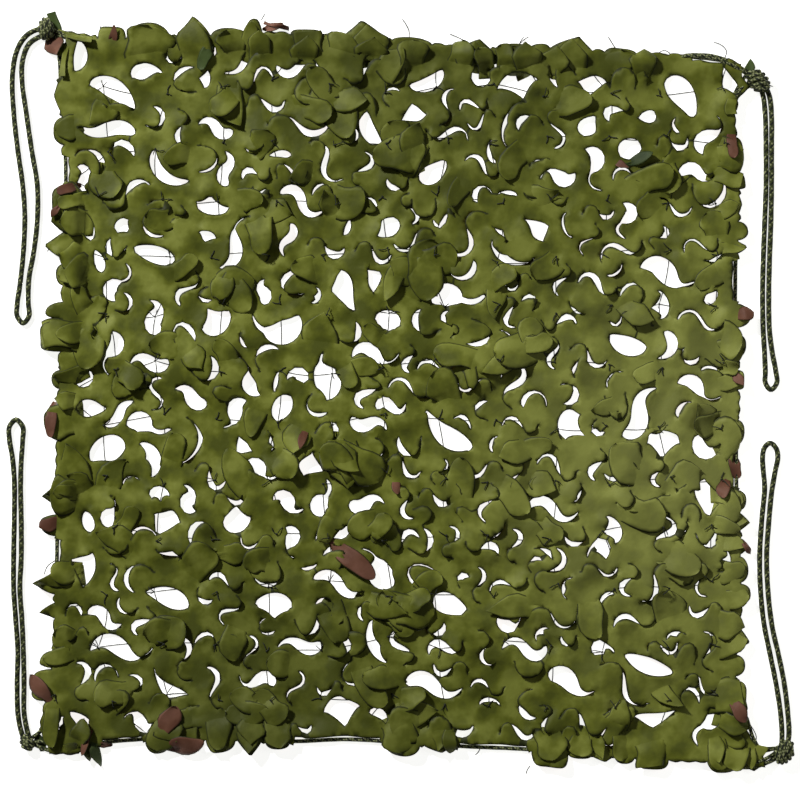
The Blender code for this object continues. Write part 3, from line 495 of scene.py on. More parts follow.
ropeSides = (
    Side("bottom", 0, 1, (
        (30, 742), (50, 750), (75, 751), (100, 743), (140, 739), (178, 737), (240, 739),
        (292, 741), (347, 739), (400, 742), (464, 746), (528, 749), (580, 754), (640, 757),
        (700, 758), (740, 763), (764, 763), (778, 757)), (
        (82, 97, 762, "point"), (146, 172, 753), (178, 200, 752, "square"), (206, 236, 752),
        (238, 262, 755, "point"), (266, 290, 748), (384, 420, 755), (424, 452, 752, "point"),
        (531, 568, 766, "square"), (568, 590, 758), (592, 612, 761, "point"), (614, 634, 763),
        (638, 668, 768, "square"), (706, 736, 772), (742, 760, 770, "point")), (
        (104, 142), (296, 380), (460, 526))),
    Side("right", 1, 1, (
        (778, 748), (764, 748), (752, 744), (742, 728), (734, 700), (735, 650), (739, 600),
        (738, 540), (736, 480), (736, 400), (735, 330), (735, 270), (737, 200), (734, 150),
        (731, 118), (735, 98), (746, 88), (754, 84)), (
        (680, 712, 745, "square"), (654, 676, 744), (626, 650, 750, "point"), (583, 604, 750),
        (556, 582, 747), (538, 554, 747, "point"), (512, 530, 749, "point"), (490, 510, 745),
        (420, 444, 744), (370, 390, 743, "square"), (334, 358, 745), (304, 328, 750),
        (242, 254, 747, "point"), (222, 241, 747), (196, 214, 741, "point"),
        (174, 190, 744, "square"), (138, 158, 742)), (
        (448, 486), (262, 300))),
    Side("top", 0, -1, (
        (752, 78), (740, 68), (726, 62), (700, 58), (660, 57), (620, 56), (585, 52), (550, 50),
        (500, 51), (455, 49), (410, 44), (350, 39), (275, 36), (200, 38), (126, 40), (92, 39),
        (66, 35), (52, 30)), (
        (645, 668, 53, "point"), (604, 636, 49), (550, 592, 37, "point"), (530, 549, 45),
        (495, 528, 45), (460, 490, 40, "point"), (392, 432, 38), (344, 386, 22, "point"),
        (291, 321, 30, "square"), (245, 263, 20), (212, 244, 29), (178, 211, 16, "point"),
        (128, 170, 24), (99, 127, 28, "square")), (
        (692, 724),)),
    Side("left", 1, -1, (
        (51, 32), (58, 44), (60, 62), (61, 85), (64, 120), (66, 165), (66, 220), (66, 280),
        (63, 340), (61, 400), (60, 460), (58, 520), (57, 580), (57, 630), (53, 670), (48, 705),
        (43, 728), (32, 738)), (
        (84, 112, 55, "point"), (118, 146, 54), (186, 226, 53, "square"), (232, 260, 44, "point"),
        (264, 286, 57), (302, 320, 47), (321, 352, 41, "square"), (370, 389, 52), (406, 440, 45),
        (484, 506, 43, "point"), (514, 536, 41), (572, 594, 33, "point"), (602, 618, 40, "point"),
        (650, 667, 41), (668, 700, 33, "square")), (
        (58, 78), (158, 182), (540, 562))),
)
ropeSides = [side._replace(leaves=[Leaf(*row) for row in side.leaves]) for side in ropeSides]
corners = ((762, 755), (741, 78), (66, 44), (47, 738))

cut = {
    "ropeCover": 0.0045,        # how far the cloth's edge hangs out over the rope
    "ropeBare": 0.005,          # how far it draws back where the rope shows
    "edgeHeight": 0.0065, "edgeRing": 0.0085, "edgeFall": 0.042, "ringStep": 0.034,
    "gapToRing": 0.003, "mainWeb": 0.0045, "web": 0.0066,
    "restAt": (0.026, 0.171), "restRadius": 0.020, "restClear": 0.027,
    "pitch": 0.053, "cells": 10, "seed": 41, "jitter": 0.013,
    "long": (0.044, 0.068), "wide": (0.0050, 0.0125), "sway": (42.0, 62.0), "tilt": 24.0,
    "backShare": 0.2,           # of the S-shaped gaps, turned the other way
    "nickLong": (0.022, 0.040), "nickWide": (0.006, 0.012), "nickShare": 0.8, "nickCurl": 60,
    "mainShrink": (1.0, 0.88, 0.76), "shrink": (1.0, 0.85, 0.7), "nickShrink": (1.0, 0.8),
    "smallest": 0.0045, "linePoints": 13, "finePoints": 61,
    "ends": 0.58,               # how full a gap stays towards its two ends, less being fuller
    "areas": (Area(-0.36, 0.38, 0.22, 0.35), Area(-0.30, -0.02, 0.22, 0.45),
              Area(0.20, 0.02, 0.20, -0.30)),
    "swells": (Wave(0.310, 22, 0.0034, 0.6), Wave(0.190, 118, 0.0026, 2.1),
               Wave(0.128, 71, 0.0020, 4.4), Wave(0.094, 155, 0.0015, 1.2)),
    "sink": 0.0018,
}


def ropeAt(side, along):
    # where the rope runs across, at a distance along its side
    route = sorted(side.route, key=lambda p: p[side.along])
    return float(np.interp(along, [p[side.along] for p in route],
                           [p[1 - side.along] for p in route]))


def sidePoint(side, along, outward):
    # a point beside the rope, from a distance along it and one outward, in plan units
    across = ropeAt(side, along) + side.outward * outward
    return place(along, across) if side.along == 0 else place(across, along)


def gapLine(gap, count):
    # points along the middle of a gap, and the heading at each
    u = np.linspace(-0.5, 0.5, count)
    swing = -gap.sway * np.cos(math.tau * u) + gap.curl * 2 * u
    headings = np.radians(gap.turn + swing)
    middles = (headings[1:] + headings[:-1]) / 2
    steps = np.column_stack((np.cos(middles), np.sin(middles)))
    points = np.vstack((np.zeros(2), np.cumsum(steps, axis=0)))
    chord = np.linalg.norm(points[-1] - points[0])
    points = (points - points.mean(axis=0)) * gap.long / chord
    if gap.deep != 1:  # stretched across its own direction
        turn = math.radians(gap.turn)
        across = np.array((-math.sin(turn), math.cos(turn)))
        points = points + (gap.deep - 1) * (points @ across)[:, None] * across
        run = np.gradient(points, axis=0)
        headings = np.unwrap(np.arctan2(run[:, 1], run[:, 0]))
    return points + (gap.x, gap.y), headings


def linesDistance(points, starts, ends):
    # how far each point is from the nearest of some straight lines
    run = ends - starts
    square = np.maximum((run ** 2).sum(axis=1), 1e-12)
    best = np.full(len(points), np.inf)
    for start, step, size in zip(starts, run, square):
        share = np.clip((points - start) @ step / size, 0, 1)
        away = np.linalg.norm(points - start - share[:, None] * step, axis=1)
        best = np.minimum(best, away)
    return best


def insideLoop(points, loop):
    # whether each point lies inside a closed outline
    crossings = np.zeros(len(points), int)
    for a, b in zip(loop, np.roll(loop, -1, axis=0)):
        if a[1] == b[1]:
            continue
        spans = (a[1] > points[:, 1]) != (b[1] > points[:, 1])
        x = a[0] + (points[:, 1] - a[1]) / (b[1] - a[1]) * (b[0] - a[0])
        crossings += spans & (x > points[:, 0])
    return crossings % 2 == 1


def ropeRing():
    # a closed line just inside the rope
    ring = []
    for side in ropeSides:
        first, last = side.route[2][side.along], side.route[-3][side.along]
        count = max(2, round(abs(last - first) / (cut["ringStep"] / plan["unit"])))
        for k in range(count + 1):
            along = first + (last - first) * k / count
            ring.append(sidePoint(side, along, -cut["edgeRing"] / plan["unit"]))
    return np.array([(p.x, p.y) for p in ring])


ring = ropeRing()
ringEnds = np.roll(ring, -1, axis=0)
taken = {"gaps": [], "lines": []}


def fits(gap, web):
    # whether a gap leaves enough cloth to the edge, the rest patch and the others
    line, _ = gapLine(gap, cut["linePoints"])
    half = gap.wide / 2
    fromRest = np.linalg.norm(line - cut["restAt"], axis=1)
    if fromRest.min() < cut["restClear"] + half or not insideLoop(line, ring).all():
        return False
    if linesDistance(line, ring, ringEnds).min() < cut["gapToRing"] + half:
        return False
    return clearOfGaps(gap, line, web)


def clearOfGaps(gap, line, web):
    # whether a gap leaves enough cloth to the gaps taken so far
    half = gap.wide / 2
    for other, otherLine in zip(taken["gaps"], taken["lines"]):
        far = (gap.long + other.long) / 2 + web + half
        if abs(gap.x - other.x) > far or abs(gap.y - other.y) > far:
            continue
        away = np.linalg.norm(line[:, None] - otherLine[None], axis=2)
        if away.min() < web + half + other.wide / 2:
            return False
    return True


def keepGap(gap):
    # a gap taken for good
    taken["gaps"].append(gap)
    taken["lines"].append(gapLine(gap, cut["linePoints"])[0])


def takeGap(gap, web, shrinks):
    # the gap as large as it fits, if it fits at all
    for share in shrinks:
        smaller = gap._replace(long=gap.long * share, wide=gap.wide * (1 + share) / 2)
        if smaller.wide >= cut["smallest"] and fits(smaller, web):
            keepGap(smaller)
            return


def inMetres(row, size=1.0):
    # a gap in plan units at its place over the floor, in metres
    spot = place(row.x, row.y)
    return row._replace(x=spot.x, y=spot.y, long=row.long * plan["unit"] * size,
                        wide=row.wide * plan["unit"] * size)


def fullness(share):
    # a gap's width along its length, as a share of its widest
    return np.sin(math.pi * share) ** cut["ends"]


def openness(x, y, areas):
    # how much wider the net's smaller gaps stand here than on average
    total = 1.0
    for area in areas:
        away = (x - area.x) ** 2 + (y - area.y) ** 2
        total += area.more * math.exp(-away / area.reach ** 2)
    return total


def cellSpots(shift, draw):
    # the repeat of the slits, cell by cell, each a little out of its place
    cells = range(-cut["cells"], cut["cells"] + 1)
    for row in cells:
        for column in cells:
            yield ((row + column) % 2,
                   (column + shift) * cut["pitch"] + draw.uniform(-1, 1) * cut["jitter"],
                   (row + shift) * cut["pitch"] + draw.uniform(-1, 1) * cut["jitter"])


def takeSolidGaps():
    # the larger gaps, an S in each cell, then a short nick between the cells
    for row in mainGaps:
        takeGap(inMetres(row), cut["mainWeb"], cut["mainShrink"])
    draw = seeded(0)
    for across, x, y in cellSpots(0, draw):
        turn = 90.0 * across + draw.uniform(-1, 1) * cut["tilt"]
        long = draw.uniform(*cut["long"])
        wide = draw.uniform(*cut["wide"]) * openness(x, y, cut["areas"])
        sway = draw.uniform(*cut["sway"]) * (-1 if draw.random() < cut["backShare"] else 1)
        takeGap(Gap(x, y, long, wide, turn, sway), cut["web"], cut["shrink"])
    for _, x, y in cellSpots(0.5, draw):
        turn = draw.uniform(-90, 90)
        long = draw.uniform(*cut["nickLong"])
        wide = draw.uniform(*cut["nickWide"]) * openness(x, y, cut["areas"])
        curl = draw.uniform(-cut["nickCurl"], cut["nickCurl"])
        if draw.random() < cut["nickShare"]:
            takeGap(Gap(x, y, long, wide, turn, 0, curl), cut["web"], cut["nickShrink"])


takeSolidGaps()
print("gaps as in the solid:", len(taken["gaps"]))

# the garnish cloth, one sheet cut into tongues, laid over the rope
sheet = {
    "fill": 0.0064,             # spacing of the sheet's free points
    "rim": 0.0036,              # and of the points along a cut
    "thick": 0.0005,
    "under": 0.0034,            # how far the crumpled sheet stands off the floor
    "folds": ((0.125, 0.0080, 1.0), (0.060, 0.0062, 2.0), (0.027, 0.0017, 3.0)),
    "slitTries": 1300, "slitShrink": (1.0, 1.0, 0.8, 0.65),     # for each of four rounds
    "slitWeb": 0.0044, "cornerWeb": 0.0022, "slitWide": 0.0008,
    "doubleShare": 0.16,        # of the slits, as S with a tongue on each hand
    "thinShare": 0.78, "thinWide": (0.0044, 0.0102),    # slits that stand a little open
    "openMore": 1.14, "openMost": 1.28,     # how much wider the larger gaps stand
    # crescents: the open share of a slit, its width, and how many thin and wide gaps have it
    "wedge": (0.52, 0.80), "wedgeMore": 1.45, "wedgeShare": (0.85, 0.55), "shut": 0.13,
    # where the cloth lies more open, or closer, than on average
    "areas": (Area(-0.197, -0.006, 0.13, 0.40), Area(-0.384, -0.196, 0.12, 0.30),
              Area(0.365, -0.180, 0.19, 0.45), Area(0.270, 0.385, 0.12, 0.30),
              Area(-0.197, 0.190, 0.11, -0.30), Area(-0.200, 0.385, 0.12, -0.35)),
    "slitLong": (0.040, 0.066), "slitSway": (45.0, 62.0), "slitDeep": (1.15, 1.6),
    "tongueLong": (0.028, 0.046), "tongueCurl": (70.0, 100.0), "tongueDeep": (1.0, 1.8),
    "slitCurl": 65,             # a gap that curls more than this is a tongue's slit
    "flap": 0.030,              # how far back from its tip a tongue bends up
    "lift": (0.0035, 0.0085),   # how high a tongue's tip stands
    "highShare": 0.12, "highLift": (0.010, 0.014), "lowShare": 0.14, "lowLift": 0.35,
    "fullHalf": 0.045,          # half the width from which a tongue stands up fully
    # how far a closed tongue slides over its neighbour, from which crown in full, and what
    # share of a thin and of a wide gap its tongue covers
    "push": (0.005, 0.013), "pushCrown": 0.012, "thinCover": (0.3, 1.2), "cover": (-0.35, 0.25),
    "spread": (0.06, 0.20),     # how much a tongue's sides spread over the cut
    # a cut's two rims: the tongue's stands up, the other one sinks
    "rimRise": 0.0024, "rimReach": 0.013, "rimSink": 0.0012,
    "most": 0.0095,             # what several bends add up to at most
    "top": 0.0170,              # and how high the sheet reaches
    # stitches to the backing mesh: how far apart, and the pucker at each
    "stitch": 0.080, "stitchJitter": 0.012, "stitchDip": 0.0055, "stitchReach": 0.010,
    "stitchRay": 0.0011,        # height of the small folds that run out from it
    # the outline, in plan units: spacing, scallops between leaves (height, length, unevenness),
    # and a leaf's lean and how far its root lies inside the edge
    "edgeStep": 2.3, "scallop": (1.6, 13.0, 0.2), "edgeLean": 0.16, "edgeRoot": (0.8, 2.6),
    # gap outlines: the bend of a straight one in degrees, how much fuller one end is, the same
    # for a slit, and where along it a three-cornered one is widest
    "bean": 38, "lean": 0.6, "slitLean": (0.55, 0.9), "peak": (0.35, 0.65),
    "floor": 0.0019,            # the sheet's underside is never lower
    "open": 0.002,              # a cut narrower than this is a closed slit
}

# openings beside the corner knots, in plan units
cornerGaps = [Gap(*row) for row in (
    (79, 57, 30, 13, 84), (729, 83, 34, 9, -62), (81, 717, 20, 12, 0, 0, -60),
    (80, 740, 26, 8, 52), (61, 722, 14, 6, 70), (735, 118, 14, 7, 80))]


def takeCornerGaps():
    # openings close to the rope, as far as the cloth's edge and the other gaps leave room
    edge = clothEdge()
    share = fullness(np.linspace(0, 1, cut["linePoints"]))
    for row in cornerGaps:
        for size in (1.0, 0.9, 0.8, 0.7, 0.6):
            gap = inMetres(row, size)
            line, _ = gapLine(gap, cut["linePoints"])
            room = linesDistance(line, edge, np.roll(edge, -1, axis=0)) - gap.wide / 2 * share
            if insideLoop(line, edge).all() and room.min() > sheet["cornerWeb"] \
                    and clearOfGaps(gap, line, sheet["cornerWeb"]):
                keepGap(gap)
                break
        else:
            print("no room for the corner gap at", row.x, row.y)


def takeClosedSlits():
    # cuts that stay closed: one tongue lies over the next, as long U or as S
    takeCornerGaps()
    draw = seeded(7)
    low, high = ring.min(axis=0), ring.max(axis=0)
    for shrink in sheet["slitShrink"]:
        for _ in range(sheet["slitTries"]):
            x, y = draw.uniform(low[0], high[0]), draw.uniform(low[1], high[1])
            hand, turn = draw.choice((-1, 1)), draw.uniform(-180, 180)
            wide = draw.uniform(*sheet["thinWide"]) * openness(x, y, sheet["areas"])
            if draw.random() > sheet["thinShare"]:
                wide = sheet["slitWide"]
            if draw.random() < sheet["doubleShare"]:
                slit = Gap(x, y, draw.uniform(*sheet["slitLong"]) * shrink, wide,
                           turn, hand * draw.uniform(*sheet["slitSway"]), 0.0,
                           draw.uniform(*sheet["slitDeep"]))
            else:
                slit = Gap(x, y, draw.uniform(*sheet["tongueLong"]) * shrink, wide, turn, 0.0,
                           hand * draw.uniform(*sheet["tongueCurl"]),
                           draw.uniform(*sheet["tongueDeep"]))
            if fits(slit, sheet["slitWeb"]):
                keepGap(slit)


def leafRise(kind, share):
    # a leaf's outline as a share of its reach
    if kind == "point":
        rise = np.where(share < 0.56, share / 0.56, (1 - share) / 0.44)
        return np.maximum(rise, 0) ** 0.86
    flat = 2.4 if kind == "round" else 6.0
    rise = np.maximum(0, 1 - np.abs(2 * share - 1) ** flat)
    return rise ** (0.625 if kind == "round" else 0.5)


def sideEdge(side, draw):
    # the cloth's edge along one side of the rope, leaf by leaf, as (along, outward)
    cover, bare = cut["ropeCover"] / plan["unit"], -cut["ropeBare"] / plan["unit"]
    start, end = sorted(p[side.along] for p in (side.route[1], side.route[-2]))
    spans = [(leaf.first, leaf.last, leaf) for leaf in side.leaves]
    spans += [(first, last, None) for first, last in side.bare]
    spans.sort(key=lambda s: s[0])
    found, here = [(start, cover)], start
    deep, length, uneven = sheet["scallop"]
    for first, last, leaf in spans + [(end, end, None)]:
        count = max(1, round((first - here) / sheet["edgeStep"]))
        for k in range(1, count):
            along = here + (first - here) * k / count
            wave = abs(math.sin(math.pi * (along - here) / length))
            found.append((along, cover - 1.0 + deep * wave + draw.uniform(-uneven, uneven)))
        if first >= end:
            break
        count = max(4, round((last - first) * 1.35 / sheet["edgeStep"]))
        share = (1 - np.cos(np.linspace(0, math.pi, count + 1))) / 2
        if leaf:
            reach = abs(leaf.reach - ropeAt(side, (first + last) / 2)) - cover
            rise = leafRise(leaf.kind, share)
            lean = draw.uniform(-sheet["edgeLean"], sheet["edgeLean"]) * (last - first)
            root = cover - draw.uniform(*sheet["edgeRoot"])
            outward = root + rise * (reach + cover - root)
            along = first + share * (last - first) + lean * rise * np.minimum(share, 1 - share) * 2
        else:
            outward = np.full(count + 1, bare) + 0.5 * np.sin(share * 9)
            along = first + share * (last - first)
        found += list(zip(along, outward))
        here = last
    found.append((end, cover))
    if side.route[0][side.along] > side.route[-1][side.along]:
        found.reverse()
    return [sidePoint(side, along, outward) for along, outward in found]


def clothEdge():
    # the sheet's whole outline, side by side and corner by corner
    draw = seeded(3)
    loop = []
    for side, corner in zip(ropeSides, corners):
        loop += sideEdge(side, draw) + [place(*corner)]
    kept = [loop[0]]
    for point in loop[1:]:
        if (point - kept[-1]).length > 0.0011:
            kept.append(point)
    return np.array([(p.x, p.y) for p in kept])


def gapRim(gap, draw):
    # a gap's outline, counter-clockwise from its first end: a bean, a drop or three-cornered
    bend = 0.0 if gap.sway or gap.curl else draw.uniform(-sheet["bean"], sheet["bean"])
    points, headings = gapLine(gap._replace(curl=gap.curl + bend), cut["finePoints"])
    count = max(6, round(gap.long * 1.1 / sheet["rim"]))
    lean, corner = draw.uniform(-sheet["lean"], sheet["lean"]), draw.choice((0, 0, -1, 1))
    isSlit = gap.sway or abs(gap.curl) > sheet["slitCurl"]
    if isSlit:  # one end of it stays nearly shut
        lean, corner = math.copysign(draw.uniform(*sheet["slitLean"]), lean), 0
    share = (1 - np.cos(np.linspace(0, math.pi, count + 1))) / 2
    share = 0.5 * share + 0.5 * np.linspace(0, 1, count + 1)
    spots = share * (cut["finePoints"] - 1)
    index = np.arange(cut["finePoints"])
    middle = np.column_stack([np.interp(spots, index, points[:, axis]) for axis in (0, 1)])
    heading = np.interp(spots, index, headings)
    full = fullness(share) * (1 + lean * (2 * share - 1))
    if isSlit and draw.random() < sheet["wedgeShare"][gap.wide > sheet["thinWide"][1]]:
        # a crescent over part of the slit, the rest of it nearly shut
        end = draw.uniform(*sheet["wedge"])
        toward = share if lean < 0 else 1 - share
        full = sheet["wedgeMore"] * np.sin(math.pi * np.clip(toward / end, 0, 1)) ** 0.8
        full = np.maximum(full, sheet["shut"] * np.sin(math.pi * share) ** 0.3)
    peak = draw.uniform(*sheet["peak"])
    sharp = np.minimum(share / peak, (1 - share) / (1 - peak)) ** 1.6 * 1.5
    across = np.column_stack((-np.sin(heading), np.cos(heading))) * gap.wide / 2
    if gap.wide > sheet["thinWide"][1]:
        across *= min(sheet["openMost"],
                      sheet["openMore"] * openness(gap.x, gap.y, sheet["areas"]))
    right = middle - across * (sharp if corner < 0 else full)[:, None]
    left = middle + across * (sharp if corner > 0 else full)[:, None]
    return np.vstack((middle[0], right[1:-1], middle[-1], left[-2:0:-1]))


def ropeLines():
    # the rope's straight pieces, their starts and their ends
    starts, ends = [], []
    for side in ropeSides:
        route = [tuple(place(x, y)) for x, y in side.route]
        starts += route[:-1]
        ends += route[1:]
    return np.array(starts), np.array(ends)


def smooth(low, high, value):
    # from 0 at low to 1 at high, level at both ends
    share = np.clip((value - low) / (high - low), 0, 1)
    return share * share * (3 - 2 * share)


ropeStarts, ropeEnds = ropeLines()


def restHeight(flat):
    # the underside of the loose cloth before its tongues bend, as the solid's
    away = linesDistance(flat, ropeStarts, ropeEnds)
    within = insideLoop(flat, ropeStarts)
    swell = np.full(len(flat), -cut["sink"])
    for wave in cut["swells"]:
        heading = math.radians(wave.heading)
        along = flat[:, 0] * math.cos(heading) + flat[:, 1] * math.sin(heading)
        swell += wave.height * np.sin(math.tau * along / wave.length + wave.phase)
    fromRest = np.linalg.norm(flat - cut["restAt"], axis=1)
    swell = np.maximum(0, swell) * np.clip((fromRest - cut["restRadius"]) / cut["restRadius"], 0, 1)
    rise = cut["edgeHeight"] * (1 - smooth(cut["edgeRing"], cut["edgeFall"], away))
    rise = np.where(within, rise, cut["edgeHeight"])
    height = np.maximum(rise, swell) + np.minimum(rise, swell) * 0.4
    droop = np.array([noise.noise((x * 34, y * 34, 5.0)) for x, y in flat])
    out = np.where(within, 0, np.maximum(0, away - 0.004))
    return np.maximum(height + out * (droop * 0.9 + 0.05), 0.0) + sheet["under"]


def creases(flat):
    # soft folds of cloth that has been packed, and the pucker at each stitch to the mesh
    relief = np.zeros(len(flat))
    for size, height, seed in sheet["folds"]:
        relief += height * np.array([noise.noise((x / size, y / size, seed)) for x, y in flat])
    for x, y, angle in stitches:
        offset = flat - (x, y)
        away = np.linalg.norm(offset, axis=1)
        near = away < sheet["stitchReach"] * 3.2
        r = away[near] / sheet["stitchReach"]
        around = np.arctan2(offset[near, 1], offset[near, 0])
        ray = np.cos(5 * around + angle) + 0.6 * np.cos(3 * around - angle)
        relief[near] += -sheet["stitchDip"] * np.exp(-r * r) \
            + sheet["stitchRay"] * ray * r * np.exp(-0.55 * r * r)
    return relief


def bendTongues(flat, sides):
    # how far each point is raised and slid by the tongues of the cuts around it
    draw = seeded(11)
    lift, slide = np.zeros(len(flat)), np.zeros((len(flat), 2))
    last = cut["finePoints"] - 1
    for number, gap in enumerate(taken["gaps"]):
        points, headings = gapLine(gap, cut["finePoints"])
        reach = gap.long / 2 + sheet["flap"] + 0.012
        near = np.nonzero(np.abs(flat - (gap.x, gap.y)).max(axis=1) < reach)[0]
        probe = flat[near]
        away = np.linalg.norm(probe[:, None] - points[None], axis=2)
        nearest = away.argmin(axis=1)
        far = np.maximum(away.min(axis=1), 1e-6)
        offset = probe - points[nearest]
        cross = np.cos(headings[nearest]) * offset[:, 1] - np.sin(headings[nearest]) * offset[:, 0]
        own = sides["gap"][near] == number
        hand = np.where(own, sides["hand"][near], np.sign(cross))
        ended = (nearest == 0) | (nearest == last)
        left = 0.5 + 0.5 * np.where(ended, cross / far, hand)
        fromEnds = np.minimum(np.linalg.norm(probe - points[0], axis=1),
                              np.linalg.norm(probe - points[-1], axis=1))
        middle = last // 2
        if gap.sway:  # an S has a tongue on each hand
            turned = math.copysign(1, gap.sway)
            tongues = ((0, middle + 2, -turned), (middle - 2, last, turned))
        else:
            tongues = ((0, last, math.copysign(1, gap.curl or gap.turn or 1)),)
        for first, final, handOf in tongues:
            start, chord = points[first], points[final] - points[first]
            half = np.linalg.norm(chord) / 2
            along = chord / (2 * half)
            up = np.array((along[1], -along[0])) * handOf  # from the tongue's root to its tip
            crown = (points[(first + final) // 2] - start) @ up
            length = max(sheet["flap"], crown * 1.6)
            share = np.clip(1 + ((probe - start) @ up - crown) / length, 0, 1.1)
            sideways = np.abs((probe - start) @ along - half) / half
            belongs = left if handOf > 0 else 1 - left
            weight = belongs * share ** 1.3 * (1 - smooth(0.8, 1.5, sideways))
            weight *= smooth(0, 0.006, fromEnds)
            kind = draw.random()
            height = draw.uniform(*sheet["highLift" if kind < sheet["highShare"] else "lift"])
            height *= min(1.0, 0.55 + half / sheet["fullHalf"])
            height *= sheet["lowLift"] if kind > 1 - sheet["lowShare"] else 1.0
            lift[near] += height * weight
            if gap.wide < sheet["open"]:
                push = draw.uniform(*sheet["push"]) * min(1.0, crown / sheet["pushCrown"])
            elif gap.wide < sheet["thinWide"][1]:
                push = draw.uniform(*sheet["thinCover"]) * gap.wide
            else:
                push = draw.uniform(*sheet["cover"]) * gap.wide
            slide[near] += (push * weight)[:, None] * up
            spread = draw.uniform(*sheet["spread"]) * half * (gap.wide < sheet["thinWide"][1])
            lean = np.clip(((probe - start) @ along - half) / half, -1.2, 1.2)
            slide[near] += (spread * weight * lean)[:, None] * along
            rim = (1 - smooth(0, sheet["rimReach"], far)) * smooth(0.001, 0.007, fromEnds)
            inSpan = (nearest >= first) & (nearest <= final)
            lift[near] += rim * inSpan * (sheet["rimRise"] * belongs
                                          - sheet["rimSink"] * (1 - belongs))
    return sheet["most"] * (1 - np.exp(-lift / sheet["most"])), slide


def gridPoints(low, high, pitch, draw):
    # points over the sheet in staggered rows, each a little out of its place
    row = pitch * math.sqrt(0.75)
    found = []
    for j in range(int((high[1] - low[1]) / row) + 1):
        for i in range(int((high[0] - low[0]) / pitch) + 1):
            x = low[0] + (i + 0.5 * (j % 2) + draw.uniform(-0.15, 0.15)) * pitch
            found.append((x, low[1] + (j + draw.uniform(-0.15, 0.15)) * row))
    return found


def planCloth():
    # the flat sheet's points and lines: its edge, each gap's rim and each closed slit
    draw = seeded(5)
    points, owner, hand, edges, loops, slits = [], [], [], [], [], []

    def addLine(line, number, hands, isLoop):
        index = list(range(len(points), len(points) + len(line)))
        points.extend(map(tuple, line))
        owner.extend([number] * len(line))
        hand.extend(hands)
        edges.extend(zip(index, index[1:] + (index[:1] if isLoop else [])))
        (loops if isLoop else slits).append(index)

    outline = clothEdge()
    addLine(outline, -1, [0.0] * len(outline), True)
    for number, gap in enumerate(taken["gaps"]):
        if gap.wide < sheet["open"]:
            line, _ = gapLine(gap, max(5, round(gap.long / sheet["rim"])))
            addLine(line, number, [1.0] * len(line), False)
            continue
        rim = gapRim(gap, draw)
        half = len(rim) // 2
        addLine(rim, number, [0.0] + [-1.0] * (half - 1) + [0.0] + [1.0] * (half - 1), True)
    lines = np.array(points)
    tree = kdtree.KDTree(len(lines))
    for i, (x, y) in enumerate(lines):
        tree.insert((x, y, 0), i)
    tree.balance()
    free = [p for p in gridPoints(lines.min(axis=0), lines.max(axis=0), sheet["fill"], draw)
            if tree.find((*p, 0))[2] > sheet["fill"] * 0.5]
    free = np.array(free)
    free = free[insideLoop(free, outline)]
    for loop in loops[1:]:  # none of them stands in a gap
        rim = lines[loop]
        near = np.nonzero(np.linalg.norm(free - rim.mean(axis=0), axis=1) < 0.07)[0]
        free = np.delete(free, near[insideLoop(free[near], rim)], axis=0)
    points.extend(map(tuple, free))
    owner.extend([-1] * len(free))
    hand.extend([0.0] * len(free))
    return points, np.array(owner), np.array(hand), edges, loops, slits


def cutCloth():
    # the flat sheet as triangles, parted along its closed slits
    points, owner, hand, edges, loops, slits = planCloth()
    lineCount = 1 + max(max(line) for line in loops + slits)
    result = delaunay_2d_cdt([Vector(p) for p in points], edges, loops, 0, 1e-7, True)
    if len(result[0]) != len(points):
        raise RuntimeError("two cuts of the cloth cross or touch")
    flat, origin = np.array([(p.x, p.y) for p in result[0]]), [old[0] for old in result[3]]
    owner, hand = owner[origin], hand[origin]
    new = {old: i for i, old in enumerate(origin)}
    triangles = np.array([t for t, o in zip(result[2], result[5]) if set(o) == {0}])
    middles = flat[triangles].mean(axis=1)
    around = {}
    for number, triangle in enumerate(triangles):
        for corner in triangle:
            around.setdefault(int(corner), []).append(number)
    copies = []
    for slit in slits:
        index = [new[i] for i in slit]
        for before, here, after in zip(index, index[1:], index[2:]):
            ahead = math.atan2(*(flat[after] - flat[here])[::-1])
            behind = math.atan2(*(flat[before] - flat[here])[::-1])
            for number in around[here]:
                toward = math.atan2(*(middles[number] - flat[here])[::-1])
                if (toward - ahead) % math.tau > (behind - ahead) % math.tau:
                    corner = list(triangles[number]).index(here)
                    triangles[number][corner] = len(flat) + len(copies)
            copies.append(here)
    flat = np.vstack((flat, flat[copies]))
    owner = np.concatenate((owner, owner[copies]))
    hand = np.concatenate((hand, -hand[copies]))
    line = np.append(np.array(origin) < lineCount, [True] * len(copies))
    return flat, triangles, {"gap": owner, "hand": hand, "line": line}


def levelOff(height, top, share):
    # what stands higher than this share of the top is pressed in between there and the top
    bend = top * share
    over, room = np.maximum(0, height - bend), top - bend
    return np.minimum(height, bend) + room * (1 - np.exp(-over / room))


def raiseCloth(flat, sides):
    # the sheet's points in place: loose folds, puckers and raised tongues
    lift, slide = bendTongues(flat, sides)
    away = linesDistance(flat, ropeStarts, ropeEnds)
    height = restHeight(flat) + creases(flat) + lift
    overRope = (cut["edgeHeight"] + sheet["thick"]) * (1 - smooth(0.004, 0.012, away))
    height = np.maximum(height, np.maximum(overRope, sheet["floor"] + sheet["thick"]))
    return np.column_stack((flat + slide, levelOff(height, sheet["top"], 0.6)))


